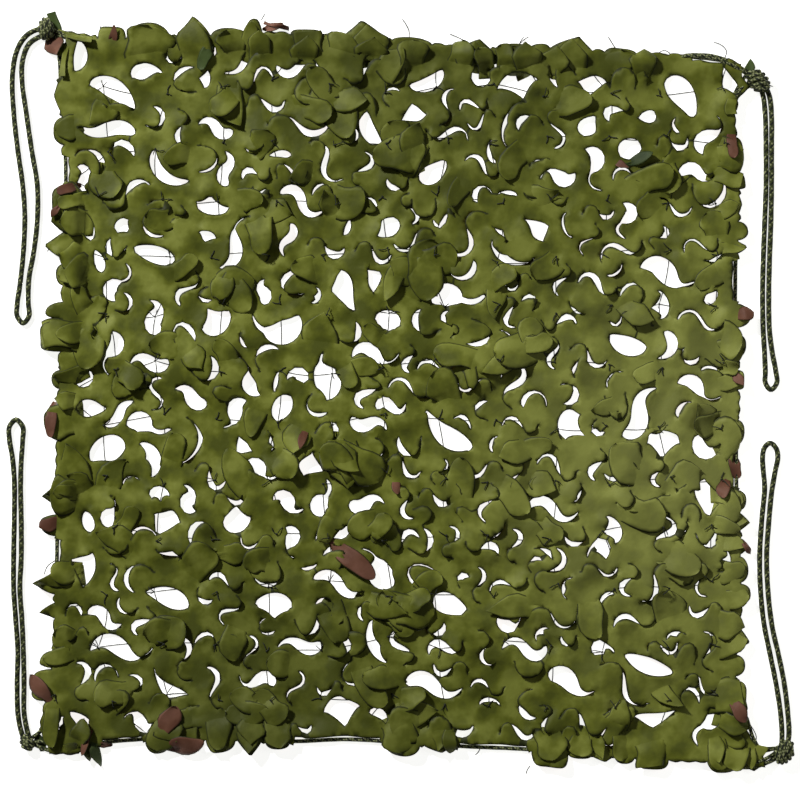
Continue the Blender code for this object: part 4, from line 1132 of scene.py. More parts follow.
def sheetMesh(name, spots, triangles, flat, atCut, materials, thick):
    # a sheet with its cut's own coordinates, thickened downwards
    data = bpy.data.meshes.new(name)
    data.from_pydata(spots.tolist(), [], triangles.tolist())
    layer = data.uv_layers.new(name="cut")
    loopPoints = np.zeros(len(data.loops), int)
    data.loops.foreach_get("vertex_index", loopPoints)
    layer.data.foreach_set("uv", flat[loopPoints].ravel())
    for material in materials:
        data.materials.append(material)
    cutLine = data.attributes.new("cut_line", "FLOAT", "POINT")
    cutLine.data.foreach_set("value", atCut.astype(float))
    data.shade_smooth()
    piece = addPiece(name, data)
    shell = piece.modifiers.new("thickness", "SOLIDIFY")
    shell.thickness = thick
    shell.offset = -1
    shell.material_offset = 1
    shell.material_offset_rim = 2
    return piece


stitchDraw = seeded(9)
stitches, jitter = [], sheet["stitchJitter"]
for row in range(-6, 8):
    for column in range(-6, 8):
        x = (column - 0.4) * sheet["stitch"] + stitchDraw.uniform(-jitter, jitter)
        y = (row - 0.5) * sheet["stitch"] + stitchDraw.uniform(-jitter, jitter)
        stitches.append((x, y, stitchDraw.uniform(0, math.tau)))
onCloth = insideLoop(np.array(stitches)[:, :2], ring)
stitches = [stitch for stitch, within in zip(stitches, onCloth) if within]
takeClosedSlits()
print("gaps and closed slits:", len(taken["gaps"]))
clothFlat, clothFaces, clothSides = cutCloth()
print("cloth cut:", len(clothFlat), "points,", len(clothFaces), "faces")
clothSpots = raiseCloth(clothFlat, clothSides)


# leaves: the long tongues of the cloth that lie over their neighbours
Leaflet = namedtuple("Leaflet", "x y long wide heading bend kind rise face",
                     defaults=("round", 1.0, 0))
Turned = namedtuple("Turned", "x y long wide heading kind colour",
                    defaults=("round", "brown"))
Clear = namedtuple("Clear", "x y radius")
leafSet = {
    "across": 8, "along": 10,   # points over a leaf
    # tries, shortest and longest, narrowest and widest, distance between the tips, and from
    # the middle of any other leaf
    "sizes": ((13000, 0.054, 0.084, 0.036, 0.056, 0.028, 0.0),
              (6000, 0.044, 0.060, 0.029, 0.042, 0.025, 0.018)),
    "tilt": 0.0040,             # from one side of a leaf to its middle
    "bend": 70.0, "wave": 0.2, "waves": (3, 8), "pointShare": 0.16,
    # its width at the root, the same when turned over, and where along it a leaf is widest
    "neck": (0.62, 0.95), "turnedNeck": 0.3, "belly": (0.45, 0.68),
    # how far its root is sunk, its tip raised, its middle cupped, and all of it laid over
    "sink": 0.0021, "lift": (0.0008, 0.0062), "cup": 0.0007, "over": 0.0008,
    "near": 0.065,              # gaps farther than this from a leaf's middle are clear of it
    "clear": 0.0008, "clearShare": 0.98,    # kept free beside an open gap, and at how many
    "clearance": 0.0030,        # how far a leaf gives way to the bumps below it
    "lowest": (0.0010, 0.0016),
    "cell": 0.0025,             # of the height map the leaves are laid over
    "top": 0.0246,
    # leaves at the edge: the share of the measured ones, how many more to a side, and in plan
    # units how far those stay from its ends and from its bare spans, half their width, how
    # far they hang out and how far a root may slip
    "edgeShare": 0.8, "edgeExtra": 12, "edgeEnds": 12, "edgeGap": 4, "edgeHalf": (7, 20),
    "edgeOut": (3, 11), "edgeSlip": 9,
    # how far in their roots lie, and the unevenness of that, of their width and of their bend
    "edgeRoot": 0.030, "rootSpread": (0.8, 1.3), "wideSpread": (0.75, 1.2), "edgeBend": 30,
    "edgeRise": 0.6, "turnedRise": 1.2, "turnedBend": 20.0, "turnedLonger": 1.2,
    # round spots without leaves, in plan units: the knots and the openings beside them
    "kept": [Clear(*row) for row in (
        (52, 30, 27), (80, 60, 15), (757, 82, 20), (742, 100, 10), (28, 741, 24),
        (81, 717, 13), (80, 741, 13), (783, 751, 20), (729, 83, 10))],
}
# leaves turned over, so that the brown or the dark green reverse shows, in plan units
turnedLeaves = [Turned(*row) for row in (
    (68, 190, 20, 12, 200), (57, 213, 14, 8, 230, "point"), (115, 35, 18, 10, 80, "point"),
    (275, 27, 18, 9, 10), (53, 423, 30, 13, 265), (50, 524, 20, 15, 185), (744, 314, 17, 14, 10),
    (738, 380, 14, 10, 300, "point"), (735, 468, 22, 13, 280), (723, 488, 20, 13, 250),
    (731, 147, 26, 12, 270), (357, 563, 48, 20, 318), (303, 440, 20, 10, 250, "point"),
    (397, 487, 14, 9, 280), (41, 688, 36, 15, 122), (170, 718, 30, 20, 60), (188, 743, 36, 18, 5),
    (738, 710, 24, 14, 300), (622, 165, 15, 8, 330, "point"), (746, 548, 14, 8, 300, "point"),
    (55, 46, 24, 20, 285, "point"), (98, 753, 27, 11, 283, "point", "green"),
    (88, 740, 30, 7, 245), (107, 744, 12, 7, 355), (40, 740, 16, 12, 100, "point", "green"),
    (53, 725, 44, 16, 268, "round", "olive"), (82, 729, 24, 18, 70, "round", "olive"),
    (71, 746, 18, 10, 20, "round", "olive"), (279, 27, 22, 4, 344, "square"),
    (54, 24, 24, 12, 100, "square", "green"), (749, 67, 16, 11, 80, "point", "green"),
    (730, 107, 18, 12, 262, "square", "olive"), (78, 38, 34, 7, 344, "square", "olive"),
    (66, 62, 34, 6, 260, "square", "olive"), (205, 60, 24, 14, 240, "round", "green"),
    (640, 158, 26, 10, 20, "round", "green"))]


def leafOutline(leaf, draw):
    # a leaf's points from root to tip, flat, and the share along at each row of them
    along = np.sin(np.linspace(0, 0.5 * math.pi, leafSet["along"])) ** 1.15
    across = np.linspace(-1, 1, leafSet["across"])
    neck, belly = draw.uniform(*leafSet["neck"]), draw.uniform(*leafSet["belly"])
    if leaf.face and leaf.kind != "square":
        neck = leafSet["turnedNeck"]
    root = neck + (1 - neck) * np.sin(np.clip(along / belly, 0, 1) * math.pi / 2)
    past = np.clip((along - belly) / (1 - belly), 0, 1)
    end = {"round": np.sqrt(np.maximum(0, 1 - past ** 2.2)), "point": 1 - past ** 1.3,
           "square": 1 - 0.12 * past}[leaf.kind]
    half = leaf.wide / 2 * root * end
    turn = math.radians(leaf.heading) + math.radians(leaf.bend) * (along - 0.5)
    step = np.diff(along, prepend=0)
    x = np.cumsum(step * np.cos(turn)) * leaf.long
    y = np.cumsum(step * np.sin(turn)) * leaf.long
    x, y = x - x.mean(), y - y.mean()
    waves = [1 + leafSet["wave"] * np.sin(along * draw.uniform(*leafSet["waves"])
                                          + draw.uniform(0, 6))
             for _ in range(2)]  # the two sides curve apart from each other
    reach = half[:, None] * np.where(across < 0, waves[0][:, None], waves[1][:, None]) * across
    px = leaf.x + x[:, None] - np.sin(turn)[:, None] * reach
    py = leaf.y + y[:, None] + np.cos(turn)[:, None] * reach
    return np.stack((px, py), axis=2), along


class HeightMap:
    # the top of everything laid so far, as a grid over the net
    def __init__(self, cell):
        self.cell, self.low = cell, ring.min(axis=0) - 0.08
        size = (ring.max(axis=0) - ring.min(axis=0) + 0.16) / cell
        self.grid = np.zeros(tuple(size.astype(int)))

    def index(self, flat):
        spot = ((flat - self.low) / self.cell).astype(int)
        return np.clip(spot, 1, np.array(self.grid.shape) - 2)

    def add(self, spots, faces):
        corners = spots[faces]
        for a, b in ((1 / 3, 1 / 3), (0.7, 0.15), (0.15, 0.7), (0.15, 0.15), (0.46, 0.46),
                     (0.46, 0.08), (0.08, 0.46)):
            samples = corners[:, 0] * a + corners[:, 1] * b + corners[:, 2] * (1 - a - b)
            spot = self.index(samples[:, :2])
            np.maximum.at(self.grid, (spot[:, 0], spot[:, 1]), samples[:, 2])

    def at(self, flat):
        spot = self.index(flat)
        return self.grid[spot[..., 0], spot[..., 1]]

    def over(self, flat):
        spot = self.index(flat)
        found = [self.grid[spot[..., 0] + i, spot[..., 1] + j]
                 for i in (-1, 0, 1) for j in (-1, 0, 1)]
        return np.max(found, axis=0)


def drapeLeaf(points, along, heights, rise, draw):
    # a nearly flat flap over what lies below it, its root under the sheet, its tip raised
    base = heights.over(points)
    across = np.linspace(-1, 1, points.shape[1])[None] + 0 * along[:, None]
    run = along[:, None] + 0 * across
    terms = np.stack((np.ones_like(run), run, across, run * run, across * across, run * across))
    upper = run > 0.2
    weight = np.linalg.lstsq(terms[:, upper].T, base[upper], rcond=None)[0]
    plain = np.tensordot(weight, terms, 1)
    held = plain + min(leafSet["clearance"], np.percentile((base - plain)[upper], 85))
    up = draw.uniform(*leafSet["lift"]) * rise
    height = held + leafSet["over"] + up * run ** 1.6 \
        + draw.uniform(-0.5, 1.0) * leafSet["cup"] * (1 - across ** 2) * smooth(0.2, 0.7, run)
    height += draw.uniform(-1, 1) * leafSet["tilt"] * across * smooth(0.1, 0.6, run)
    rooted = 1 - smooth(0.12, 0.46, run)
    height = height * (1 - rooted) + (heights.at(points) - leafSet["sink"]) * rooted
    height = np.maximum(height, draw.uniform(*leafSet["lowest"]))
    return levelOff(height, leafSet["top"], 0.72)


def leafFaces(count):
    # a leaf's triangles, when so many points come before its own
    rows, columns = leafSet["along"], leafSet["across"]
    index = np.arange(rows * columns).reshape(rows, columns)
    a, b = index[:-1, :-1].ravel(), index[:-1, 1:].ravel()
    c, d = index[1:, 1:].ravel(), index[1:, :-1].ravel()
    return np.vstack((np.column_stack((a, c, b)), np.column_stack((a, d, c)))) + count


def openLines():
    # the middle line of every open gap, with half its width at each point
    spots, half = [], []
    draw = seeded(27)
    share = np.linspace(0, 1, cut["linePoints"])
    for gap, line in zip(taken["gaps"], taken["lines"]):
        if gap.wide > sheet["open"] and draw.random() < leafSet["clearShare"]:
            spots.append(line)
            half.append(gap.wide / 2 * fullness(share))
    return np.vstack(spots), np.concatenate(half)


def sideLeaves(draw):
    # leaves over the rope at the cloth's edge, the measured ones and some between
    found = []
    for side in ropeSides:
        start, end = sorted(p[side.along] for p in (side.route[1], side.route[-2]))
        spans = [(leaf.first, leaf.last, leaf.reach, leaf.kind) for leaf in side.leaves
                 if draw.random() < leafSet["edgeShare"]]
        for _ in range(leafSet["edgeExtra"]):
            middle = draw.uniform(start + leafSet["edgeEnds"], end - leafSet["edgeEnds"])
            half = draw.uniform(*leafSet["edgeHalf"])
            if any(first - leafSet["edgeGap"] < middle < last + leafSet["edgeGap"]
                   for first, last in side.bare):
                continue
            reach = ropeAt(side, middle) + side.outward * draw.uniform(*leafSet["edgeOut"])
            kind = draw.choice(("round", "round", "point"))
            spans.append((middle - half, middle + half, reach, kind))
        for first, last, reach, kind in spans:
            middle = (first + last) / 2
            rope = ropeAt(side, middle)
            tip = sidePoint(side, middle, abs(reach - rope))
            slip, bend = leafSet["edgeSlip"], leafSet["edgeBend"]
            root = sidePoint(side, middle + draw.uniform(-slip, slip), -leafSet["edgeRoot"]
                             * draw.uniform(*leafSet["rootSpread"]) / plan["unit"])
            aim = tip - root
            centre = (tip + root) / 2
            wide = (last - first) * plan["unit"] * draw.uniform(*leafSet["wideSpread"])
            found.append(Leaflet(centre.x, centre.y, aim.length, wide,
                                 math.degrees(math.atan2(aim.y, aim.x)),
                                 draw.uniform(-bend, bend), kind, leafSet["edgeRise"]))
    return found


def leafPlan():
    # leaves of two sizes over the inner cloth, clear of the open gaps
    draw = seeded(21)
    spots, half = openLines()
    low, high = ring.min(axis=0), ring.max(axis=0)
    found, tips = [], np.empty((0, 2))
    middles = np.empty((0, 2))
    for tries, shortest, longest, narrowest, widest, apart, alone in leafSet["sizes"]:
        for _ in range(tries):
            leaf = Leaflet(draw.uniform(low[0], high[0]), draw.uniform(low[1], high[1]),
                           draw.uniform(shortest, longest), draw.uniform(narrowest, widest),
                           draw.uniform(-180, 180), draw.uniform(-1, 1) * leafSet["bend"],
                           "point" if draw.random() < leafSet["pointShare"] else "round")
            points, along = leafOutline(leaf, draw)
            near = np.abs(spots - (leaf.x, leaf.y)).max(axis=1) < leafSet["near"]
            probe = points[:, (0, 2, 5, 7)].reshape(-1, 2)
            away = np.linalg.norm(probe[:, None] - spots[near][None], axis=2) - half[near]
            if (np.linalg.norm(tips - points[-1, 0], axis=1) < apart).any() or \
                    (np.linalg.norm(middles - (leaf.x, leaf.y), axis=1) < alone).any() or \
                    (away < leafSet["clear"]).any() or atKept(points) or \
                    not insideLoop(points[::3, ::3].reshape(-1, 2), ring).all():
                continue
            found.append(leaf)
            tips = np.vstack((tips, points[-1, 0]))
            middles = np.vstack((middles, (leaf.x, leaf.y)))
    return found


def atKept(points):
    # whether a leaf would cover a knot or the open corner beside it
    return any((np.hypot(*(points - np.array(place(spot.x, spot.y)[:2])).T)
                < spot.radius * plan["unit"]).any() for spot in leafSet["kept"])


def turnedPlan():
    # the leaves that are turned over, at their places
    faces = {"olive": 0, "brown": 3, "green": 6}
    for leaf in turnedLeaves:
        spot = place(leaf.x, leaf.y)
        yield Leaflet(spot.x, spot.y, leaf.long * plan["unit"] * leafSet["turnedLonger"],
                      leaf.wide * plan["unit"], leaf.heading, leafSet["turnedBend"], leaf.kind,
                      leafSet["turnedRise"], faces[leaf.colour])


def layLeaves(leaves, heights, draw):
    # leaf over leaf, each draped over all that lies below it
    spots, faces, flat, line, kinds = [], [], [], [], []
    for leaf in leaves:
        points, along = leafOutline(leaf, draw)
        height = drapeLeaf(points, along, heights, leaf.rise, draw)
        own = np.dstack((points, height)).reshape(-1, 3)
        heights.add(own, leafFaces(0))
        faces.append(leafFaces(len(spots) * len(own)))
        spots.append(own)
        flat.append(points.reshape(-1, 2))
        rim = np.zeros(points.shape[:2])
        rim[:, 0] = rim[:, -1] = rim[-1] = 1
        rim[0] = 0
        line.append(rim.ravel())
        kinds += [leaf.face] * len(faces[-1])
    return np.vstack(spots), np.vstack(faces), np.vstack(flat), np.concatenate(line), kinds


heights = HeightMap(leafSet["cell"])
heights.add(clothSpots, clothFaces)
leafDraw = seeded(25)
innerLeaves = leafPlan()
edgeLeaves = [leaf for leaf in sideLeaves(leafDraw)
              if not atKept(leafOutline(leaf, leafDraw)[0])] + list(turnedPlan())
leafLayers = {"garnish_leaves_inner": layLeaves(innerLeaves, heights, leafDraw),
              "garnish_leaves_edge": layLeaves(edgeLeaves, heights, leafDraw)}
print("leaves laid:", len(innerLeaves), "and at the edge", len(edgeLeaves))


# garnish cloth: plain-woven polyester, dyed and coated, so it has a dull face
garnish = {
    "face": ("#4f5511", "#656b1b", "#7e8433"),      # deep, middle and worn olive
    "reverse": ("#6c4433", "#39461f", "#5c6a30"),   # brown, dark green and olive
    "brown": ("#5a3626", "#6a4533", "#785140"), "green": ("#2f3d1c", "#39461f", "#455527"),
    "rim": "#272c0e",                               # heat-cut edge, slightly melted, and painted shade: the dark line along each cut and the cut walls
    "mottle": 0.045, "crumple": 0.014,
    # painted light and shade, lighter towards the right middle and darker towards the lower left and the top: place,
    # reach, colour and share at most
    "paintedLightShade": (((0.410, -0.110), 0.46, "#a3a75c", 0.46), ((-0.230, -0.560), 0.50, "#3c4110", 0.60),
              ((0.050, 0.580), 0.56, "#3c4110", 0.50)),
    # thread spacing, drawn about three times real size, and the relief of weave and creases
    "thread": 0.0011, "weave": (0.2, 0.0002), "crease": (0.3, 0.002),
    "stops": (0.36, 0.50, 0.64), "searedAndShaded": (0.58, 0.86, 0.94),
    "reverseBlotch": 0.09, "rimBlotch": 0.02,       # size of the blotches
    "roughness": 0.6, "specular": 0.22, "sheen": (0.05, 0.5),
}


def weaveHeight(tree, coordinate, pitch):
    # plain weave: two crossed sine rows, one hand up at each crossing
    rows = []
    for axis in ("X", "Y"):
        parts = addNode(tree, "SeparateXYZ", links={"Vector": (coordinate, 0)})
        scaled = addNode(tree, "Math", {"operation": "MULTIPLY"},
                         {0: (parts, axis), 1: math.pi / pitch})
        rows.append(addNode(tree, "Math", {"operation": "SINE"}, {0: (scaled, 0)}))
    return addNode(tree, "Math", {"operation": "MULTIPLY"}, {0: (rows[0], 0), 1: (rows[1], 0)})


def clothMaterial(name, colours, blotch):
    material, tree, shader = startMaterial(name)
    uv = addNode(tree, "UVMap", {"uv_map": "cut"})
    tone = addNode(tree, "TexNoise", {"noise_dimensions": "2D"},
                   {"Vector": (uv, "UV"), "Scale": 1 / blotch, "Detail": 3.0})
    ramp = addNode(tree, "ValToRGB", links={"Fac": (tone, 0)})
    stops = ramp.color_ramp.elements
    stops.new(garnish["stops"][2])
    for stop, position, colour in zip(stops, garnish["stops"], colours):
        stop.position, stop.color = position, hexColour(colour)
    if blotch > garnish["mottle"]:
        ramp.color_ramp.interpolation = "CONSTANT"
    tint = (ramp, "Color")
    # painted light and shade: a lighter patch towards the right middle, darker ones towards the lower left and the top
    if colours == garnish["face"]:
        for (x, y), reach, colour, most in garnish["paintedLightShade"]:
            away = addNode(tree, "VectorMath", {"operation": "DISTANCE"},
                           {0: (uv, "UV"), 1: (x, y, 0)})
            share = addNode(tree, "MapRange", {"interpolation_type": "SMOOTHSTEP"},
                            {"Value": (away, "Value"), "From Min": 0.0, "From Max": reach,
                             "To Min": most, "To Max": 0.0})
            mixed = addNode(tree, "Mix", {"data_type": "RGBA"},
                            {0: (share, 0), 6: tint, 7: hexColour(colour)})
            tint = (mixed, 2)
    # painted shade: a dark line along every cut and leaf edge, for the thin shadow beside it, with a little of the
    # seared edge's own darkening
    line = addNode(tree, "Attribute", {"attribute_name": "cut_line"})
    low, high, most = garnish["searedAndShaded"]
    searedAndShaded = addNode(tree, "MapRange", links={"Value": (line, "Fac"), "From Min": low,
                                              "From Max": high, "To Min": 0.0, "To Max": most})
    shade = addNode(tree, "Mix", {"data_type": "RGBA"},
                    {0: (searedAndShaded, 0), 6: tint, 7: hexColour(garnish["rim"])})
    crumple = addNode(tree, "TexNoise", {"noise_dimensions": "2D"},
                      {"Vector": (uv, "UV"), "Scale": 1 / garnish["crumple"], "Detail": 3.0})
    share, deep = garnish["crease"]
    soft = addNode(tree, "Bump", links={"Height": (crumple, 0), "Strength": share,
                                        "Distance": deep})
    share, deep = garnish["weave"]
    weave = addNode(tree, "Bump", links={"Height": (weaveHeight(tree, uv, garnish["thread"]), 0),
                                         "Strength": share, "Distance": deep,
                                         "Normal": (soft, 0)})
    tree.links.new(shade.outputs[2], shader.inputs["Base Color"])
    tree.links.new(weave.outputs[0], shader.inputs["Normal"])
    shader.inputs["Roughness"].default_value = garnish["roughness"]
    shader.inputs["Specular IOR Level"].default_value = garnish["specular"]
    shader.inputs["Sheen Weight"].default_value = garnish["sheen"][0]
    shader.inputs["Sheen Roughness"].default_value = garnish["sheen"][1]
    return material


faceCloth = clothMaterial("woven_polyester_olive", garnish["face"], garnish["mottle"])
reverseCloth = clothMaterial("woven_polyester_reverse", garnish["reverse"],
                             garnish["reverseBlotch"])
brownCloth = clothMaterial("woven_polyester_brown", garnish["brown"], garnish["mottle"])
greenCloth = clothMaterial("woven_polyester_dark_green", garnish["green"], garnish["mottle"])
# the cut walls: the seared edge, darkened further as painted shade
rimCloth = clothMaterial("heat_cut_edge", (garnish["rim"],) * 3, garnish["rimBlotch"])
clothPiece = sheetMesh("garnish_cloth_sheet", clothSpots, clothFaces, clothFlat,
                       clothSides["line"], (faceCloth, reverseCloth, rimCloth), sheet["thick"])
for name, (spots, faces, flat, line, kinds) in leafLayers.items():
    leafPiece = sheetMesh(name, spots, faces, flat, line,
                          (faceCloth, reverseCloth, rimCloth, brownCloth, faceCloth, rimCloth,
                           greenCloth, faceCloth, rimCloth), sheet["thick"])
    leafPiece.data.polygons.foreach_set("material_index", kinds)
    dressPiece(leafPiece, slot="garnish_cloth")
dressPiece(clothPiece, node="net_cloth", slot="garnish_cloth")
first, second, third = (clothFlat[clothFaces[:, corner]] for corner in range(3))
flatArea = float(np.abs(np.cross(second - first, third - first)).sum() / 2)
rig.sheet(clothPiece, flat=(1.06, 1.09), held="laid", area=round(flatArea, 3),
         rests_on=["rope_top", "rope_right", "rope_bottom", "rope_left"])
print("cloth made, flat area", round(flatArea, 3))


# perimeter rope: the same braid, in four sides
ropeSet = {"diameter": 0.006, "sides": 14, "step": 0.0022}
for side in ropeSides:
    line = layLine([place(x, y) for x, y in side.route],
                   ropeSet["diameter"] * cordLook["rest"], ropeSet["step"])
    rope = sweepTube("perimeter_rope_" + side.name, line, ropeSet["diameter"] / 2,
                     ropeSet["sides"], braidSwell)
    dressPiece(rope, ropeBraid, "rope_" + side.name, "perimeter_rope")


# corner knots, wound in the doubled cord, and the strands laid beside the rope
Knot = namedtuple("Knot", "name x y heading turns long across tall")
knotSet = {
    "strand": 0.0064, "points": 34, "sides": 12, "start": 1.0,
    "core": 0.40,               # radius of the core inside the turns, as a share of the height
    "coreTip": 0.7, "strandTip": 0.6,       # radius of their ends, as a share
    "strandShare": 0.45, "strandHigh": 0.0012,      # a strand's radius and its gap to the floor
    "lean": 0.35,               # how far a turn runs along the knot, as a share of its width
    "tip": 0.45,                # where the turns start and end on the round knot, in radians
    # place, heading of the cord through the knot, turns round it and size in plan units
    "places": (Knot("knot_top_left", 47, 30, 35, 4.0, 19, 22, 14),
               Knot("knot_top_right", 757, 82, 292, 5.2, 27, 22, 15),
               Knot("knot_bottom_left", 28, 742, 80, 3.4, 16, 16, 12),
               Knot("knot_bottom_right", 783, 751, 28, 5.2, 25, 22, 15)),
    # more strands at the corners, in plan units, and how far each rises over the cloth
    "doubled": ((((680, 57), (700, 57), (720, 62), (736, 69), (750, 77)), 0.0080),
                (((690, 55), (712, 57), (730, 63), (748, 73)), 0.0060),
                (((748, 72), (741, 82), (735, 92), (730, 104), (729, 116)), 0.0050),
                (((753, 88), (746, 86), (739, 91), (733, 101), (731, 114)), 0.0075),
                (((60, 37), (63, 50), (64, 70), (65, 90)), 0.0),
                (((56, 36), (72, 39), (92, 42), (112, 41)), 0.0),
                (((34, 741), (48, 742), (62, 743), (80, 743)), 0.0),
                (((776, 755), (766, 762), (752, 766), (738, 766), (724, 762)), 0.0060),
                (((775, 752), (764, 758), (750, 762), (734, 763)), 0.0070),
                (((775, 748), (762, 750), (754, 740), (746, 716)), 0.0)),
}


def knotLine(knot):
    # turns wound round the cord, the last of it led back over them, as one closed line
    middle, heading = place(knot.x, knot.y), math.radians(knot.heading)
    along = Vector((math.cos(heading), math.sin(heading)))
    side = Vector((-along.y, along.x))
    room = knotSet["strand"]
    half = (knot.long * plan["unit"] - room) / 2
    wide, high = (knot.across * plan["unit"] - room) / 2, (knot.tall * plan["unit"] - room) / 2
    line, count = [], round(knot.turns * knotSet["points"])
    for k in range(count + 1):
        share = k / count
        turn = math.tau * knot.turns * share - knotSet["start"]
        over = knotSet["tip"] + (math.pi - 2 * knotSet["tip"]) * share
        full = math.sin(over)
        lean = knotSet["lean"] * wide * full * math.cos(turn)
        spot = middle + along * (lean - half * math.cos(over)) \
            + side * wide * full * math.cos(turn)
        line.append(Vector((spot.x, spot.y,
                            room * cordLook["rest"] + high + high * full * math.sin(turn))))
    last, first = line[-1], line[0]
    for k in range(1, knotSet["points"] // 2):  # and led back through the middle of the turns
        share = k / (knotSet["points"] // 2)
        line.append(last.lerp(first, share * share * (3 - 2 * share)))
    return line


for knot in knotSet["places"]:
    tied = sweepTube(knot.name + "_cord", knotLine(knot), knotSet["strand"] / 2,
                     knotSet["sides"], braidSwell, closedLine=True)
    dressPiece(tied, ropeBraid, knot.name, "perimeter_rope")
    heading, radius = math.radians(knot.heading), knot.tall * plan["unit"] * knotSet["core"]
    half = (knot.long * plan["unit"] * 0.5 - radius) \
        * Vector((math.cos(heading), math.sin(heading), 0))
    middle = Vector((*place(knot.x, knot.y), knotSet["strand"] / 2 + radius))
    core = sweepTube(knot.name + "_core", [middle + half * (k / 6) for k in range(-6, 7)],
                     radius, knotSet["sides"], braidSwell, tipShare=knotSet["coreTip"])
    dressPiece(core, ropeBraid, slot="perimeter_rope")
for number, (route, rise) in enumerate(knotSet["doubled"]):
    radius = ropeSet["diameter"] * knotSet["strandShare"]
    line = layLine([place(x, y) for x, y in route], radius + knotSet["strandHigh"],
                   ropeSet["step"])
    for k, spot in enumerate(line):
        spot.z += rise * math.sin(math.pi * k / len(line)) ** 0.7
    strand = sweepTube("rope_strand_" + str(number + 1), line, radius, knotSet["sides"],
                       braidSwell, tipShare=knotSet["strandTip"])
    dressPiece(strand, ropeBraid, slot="perimeter_rope")
print("rope and knots made")


# threads: the knotted mesh the cloth is stitched to, black twisted polyester
threadSet = {
    "thick": 0.0014, "sides": 6, "step": 0.006, "height": 0.0011,
    "reach": (0.050, 0.112), "square": 0.042, "bow": 0.006, "toRope": 0.090,
    "knot": 0.0034, "knotThick": 0.8, "colour": ("#15180f", "#23281a"),
    # a tail's length, its pieces, how far it turns from the knot and from piece to piece
    "tail": (0.006, 0.016), "tailPieces": 5, "tailTurn": 0.7, "tailBend": 0.35,
    "twist": 700.0, "roughness": 0.75,
    "over": 0.0008,             # how far a tail's middle line lies over the cloth
    "looseHigh": 0.0050, "looseDrop": 0.003, "looseStep": 0.0015,
    # loose ends at the edge, in plan units, from the rope outwards
    "loose": (((98, 38), (100, 32), (101, 26)), ((104, 36), (105, 33), (107, 30)),
              ((261, 21), (263, 18), (265, 14)), ((409, 40), (409, 32), (406, 25), (402, 19)),
              ((464, 41), (456, 37), (449, 34)), ((519, 45), (521, 41), (524, 37)),
              ((520, 44), (524, 40), (529, 37)), ((617, 52), (612, 44), (608, 37)),
              ((657, 57), (659, 53), (664, 51), (669, 53), (671, 57)),
              ((724, 60), (726, 52), (722, 46), (713, 42)), ((766, 81), (770, 82)),
              ((767, 85), (773, 87)), ((738, 712), (748, 722), (756, 737), (753, 746)),
              ((530, 765), (527, 770), (526, 774)), ((480, 748), (478, 752), (475, 755)),
              ((56, 560), (48, 566), (44, 575)), ((60, 245), (52, 247), (47, 252))),
}


def threadMaterial():
    # black yarn of two plies: a fine light and dark twist along the thread
    material, tree, shader = startMaterial("twisted_polyester_thread")
    tone = addNode(tree, "TexNoise", links={"Scale": threadSet["twist"], "Detail": 1.0})
    ramp = addNode(tree, "ValToRGB", links={"Fac": (tone, 0)})
    for stop, colour in zip(ramp.color_ramp.elements, threadSet["colour"]):
        stop.color = hexColour(colour)
    tree.links.new(ramp.outputs[0], shader.inputs["Base Color"])
    shader.inputs["Roughness"].default_value = threadSet["roughness"]
    return material


def threadMesh(name, lines, thick, sides):
    # many thin tubes as one mesh, each drawn in to a point at both ends
    spots, faces = [], []
    for line in lines:
        line = np.array([tuple(p) for p in line])
        heading = np.gradient(line, axis=0)
        heading /= np.linalg.norm(heading, axis=1)[:, None]
        side = np.cross((0, 0, 1), heading)
        side /= np.maximum(np.linalg.norm(side, axis=1)[:, None], 1e-9)
        up = np.cross(heading, side)
        radius = np.full(len(line), thick / 2)
        radius[[0, -1]] *= 0.3
        base = len(spots)
        for k in range(len(line)):
            for m in range(sides):
                angle = math.tau * m / sides
                spots.append(line[k] + radius[k] * (math.cos(angle) * side[k]
                                                    + math.sin(angle) * up[k]))
        for k in range(len(line) - 1):
            for m in range(sides):
                a, b = base + k * sides + m, base + k * sides + (m + 1) % sides
                faces.append((a, b, b + sides, a + sides))
        faces.append(tuple(range(base + sides - 1, base - 1, -1)))
        faces.append(tuple(range(len(spots) - sides, len(spots))))
    data = bpy.data.meshes.new(name)
    data.from_pydata([tuple(p) for p in spots], [], faces)
    data.shade_smooth()
    return addPiece(name, data)


def bowedLine(start, end, draw):
    # a slack thread between two points, a little to one side
    run = end - start
    bow = Vector((-run.y, run.x)).normalized() * draw.uniform(-1, 1) * threadSet["bow"]
    count = max(4, round(run.length / threadSet["step"]))
    line = []
    for k in range(count + 1):
        spot = start.lerp(end, k / count) + bow * math.sin(math.pi * k / count)
        line.append(Vector((spot.x, spot.y, threadSet["height"])))
    return line


def meshThreads(draw):
    # threads from stitch to stitch, and from the outer ones to the rope
    spots = [Vector(s[:2]) for s in stitches]
    edge = [Vector(p) for p in ring[::3]]
    low, high = threadSet["reach"]
    lines = []
    for i, here in enumerate(spots):
        joined = 0
        for j, other in enumerate(spots):
            run = other - here
            straight = min(abs(run.x), abs(run.y)) < threadSet["square"]
            if i != j and low < run.length < high and straight:
                joined += 1
                if i < j:
                    lines.append(bowedLine(here, other, draw))
        if joined < 4:
            nearest = min(edge, key=lambda p: (p - here).length)
            if (nearest - here).length < threadSet["toRope"]:
                lines.append(bowedLine(here, nearest, draw))
    return lines


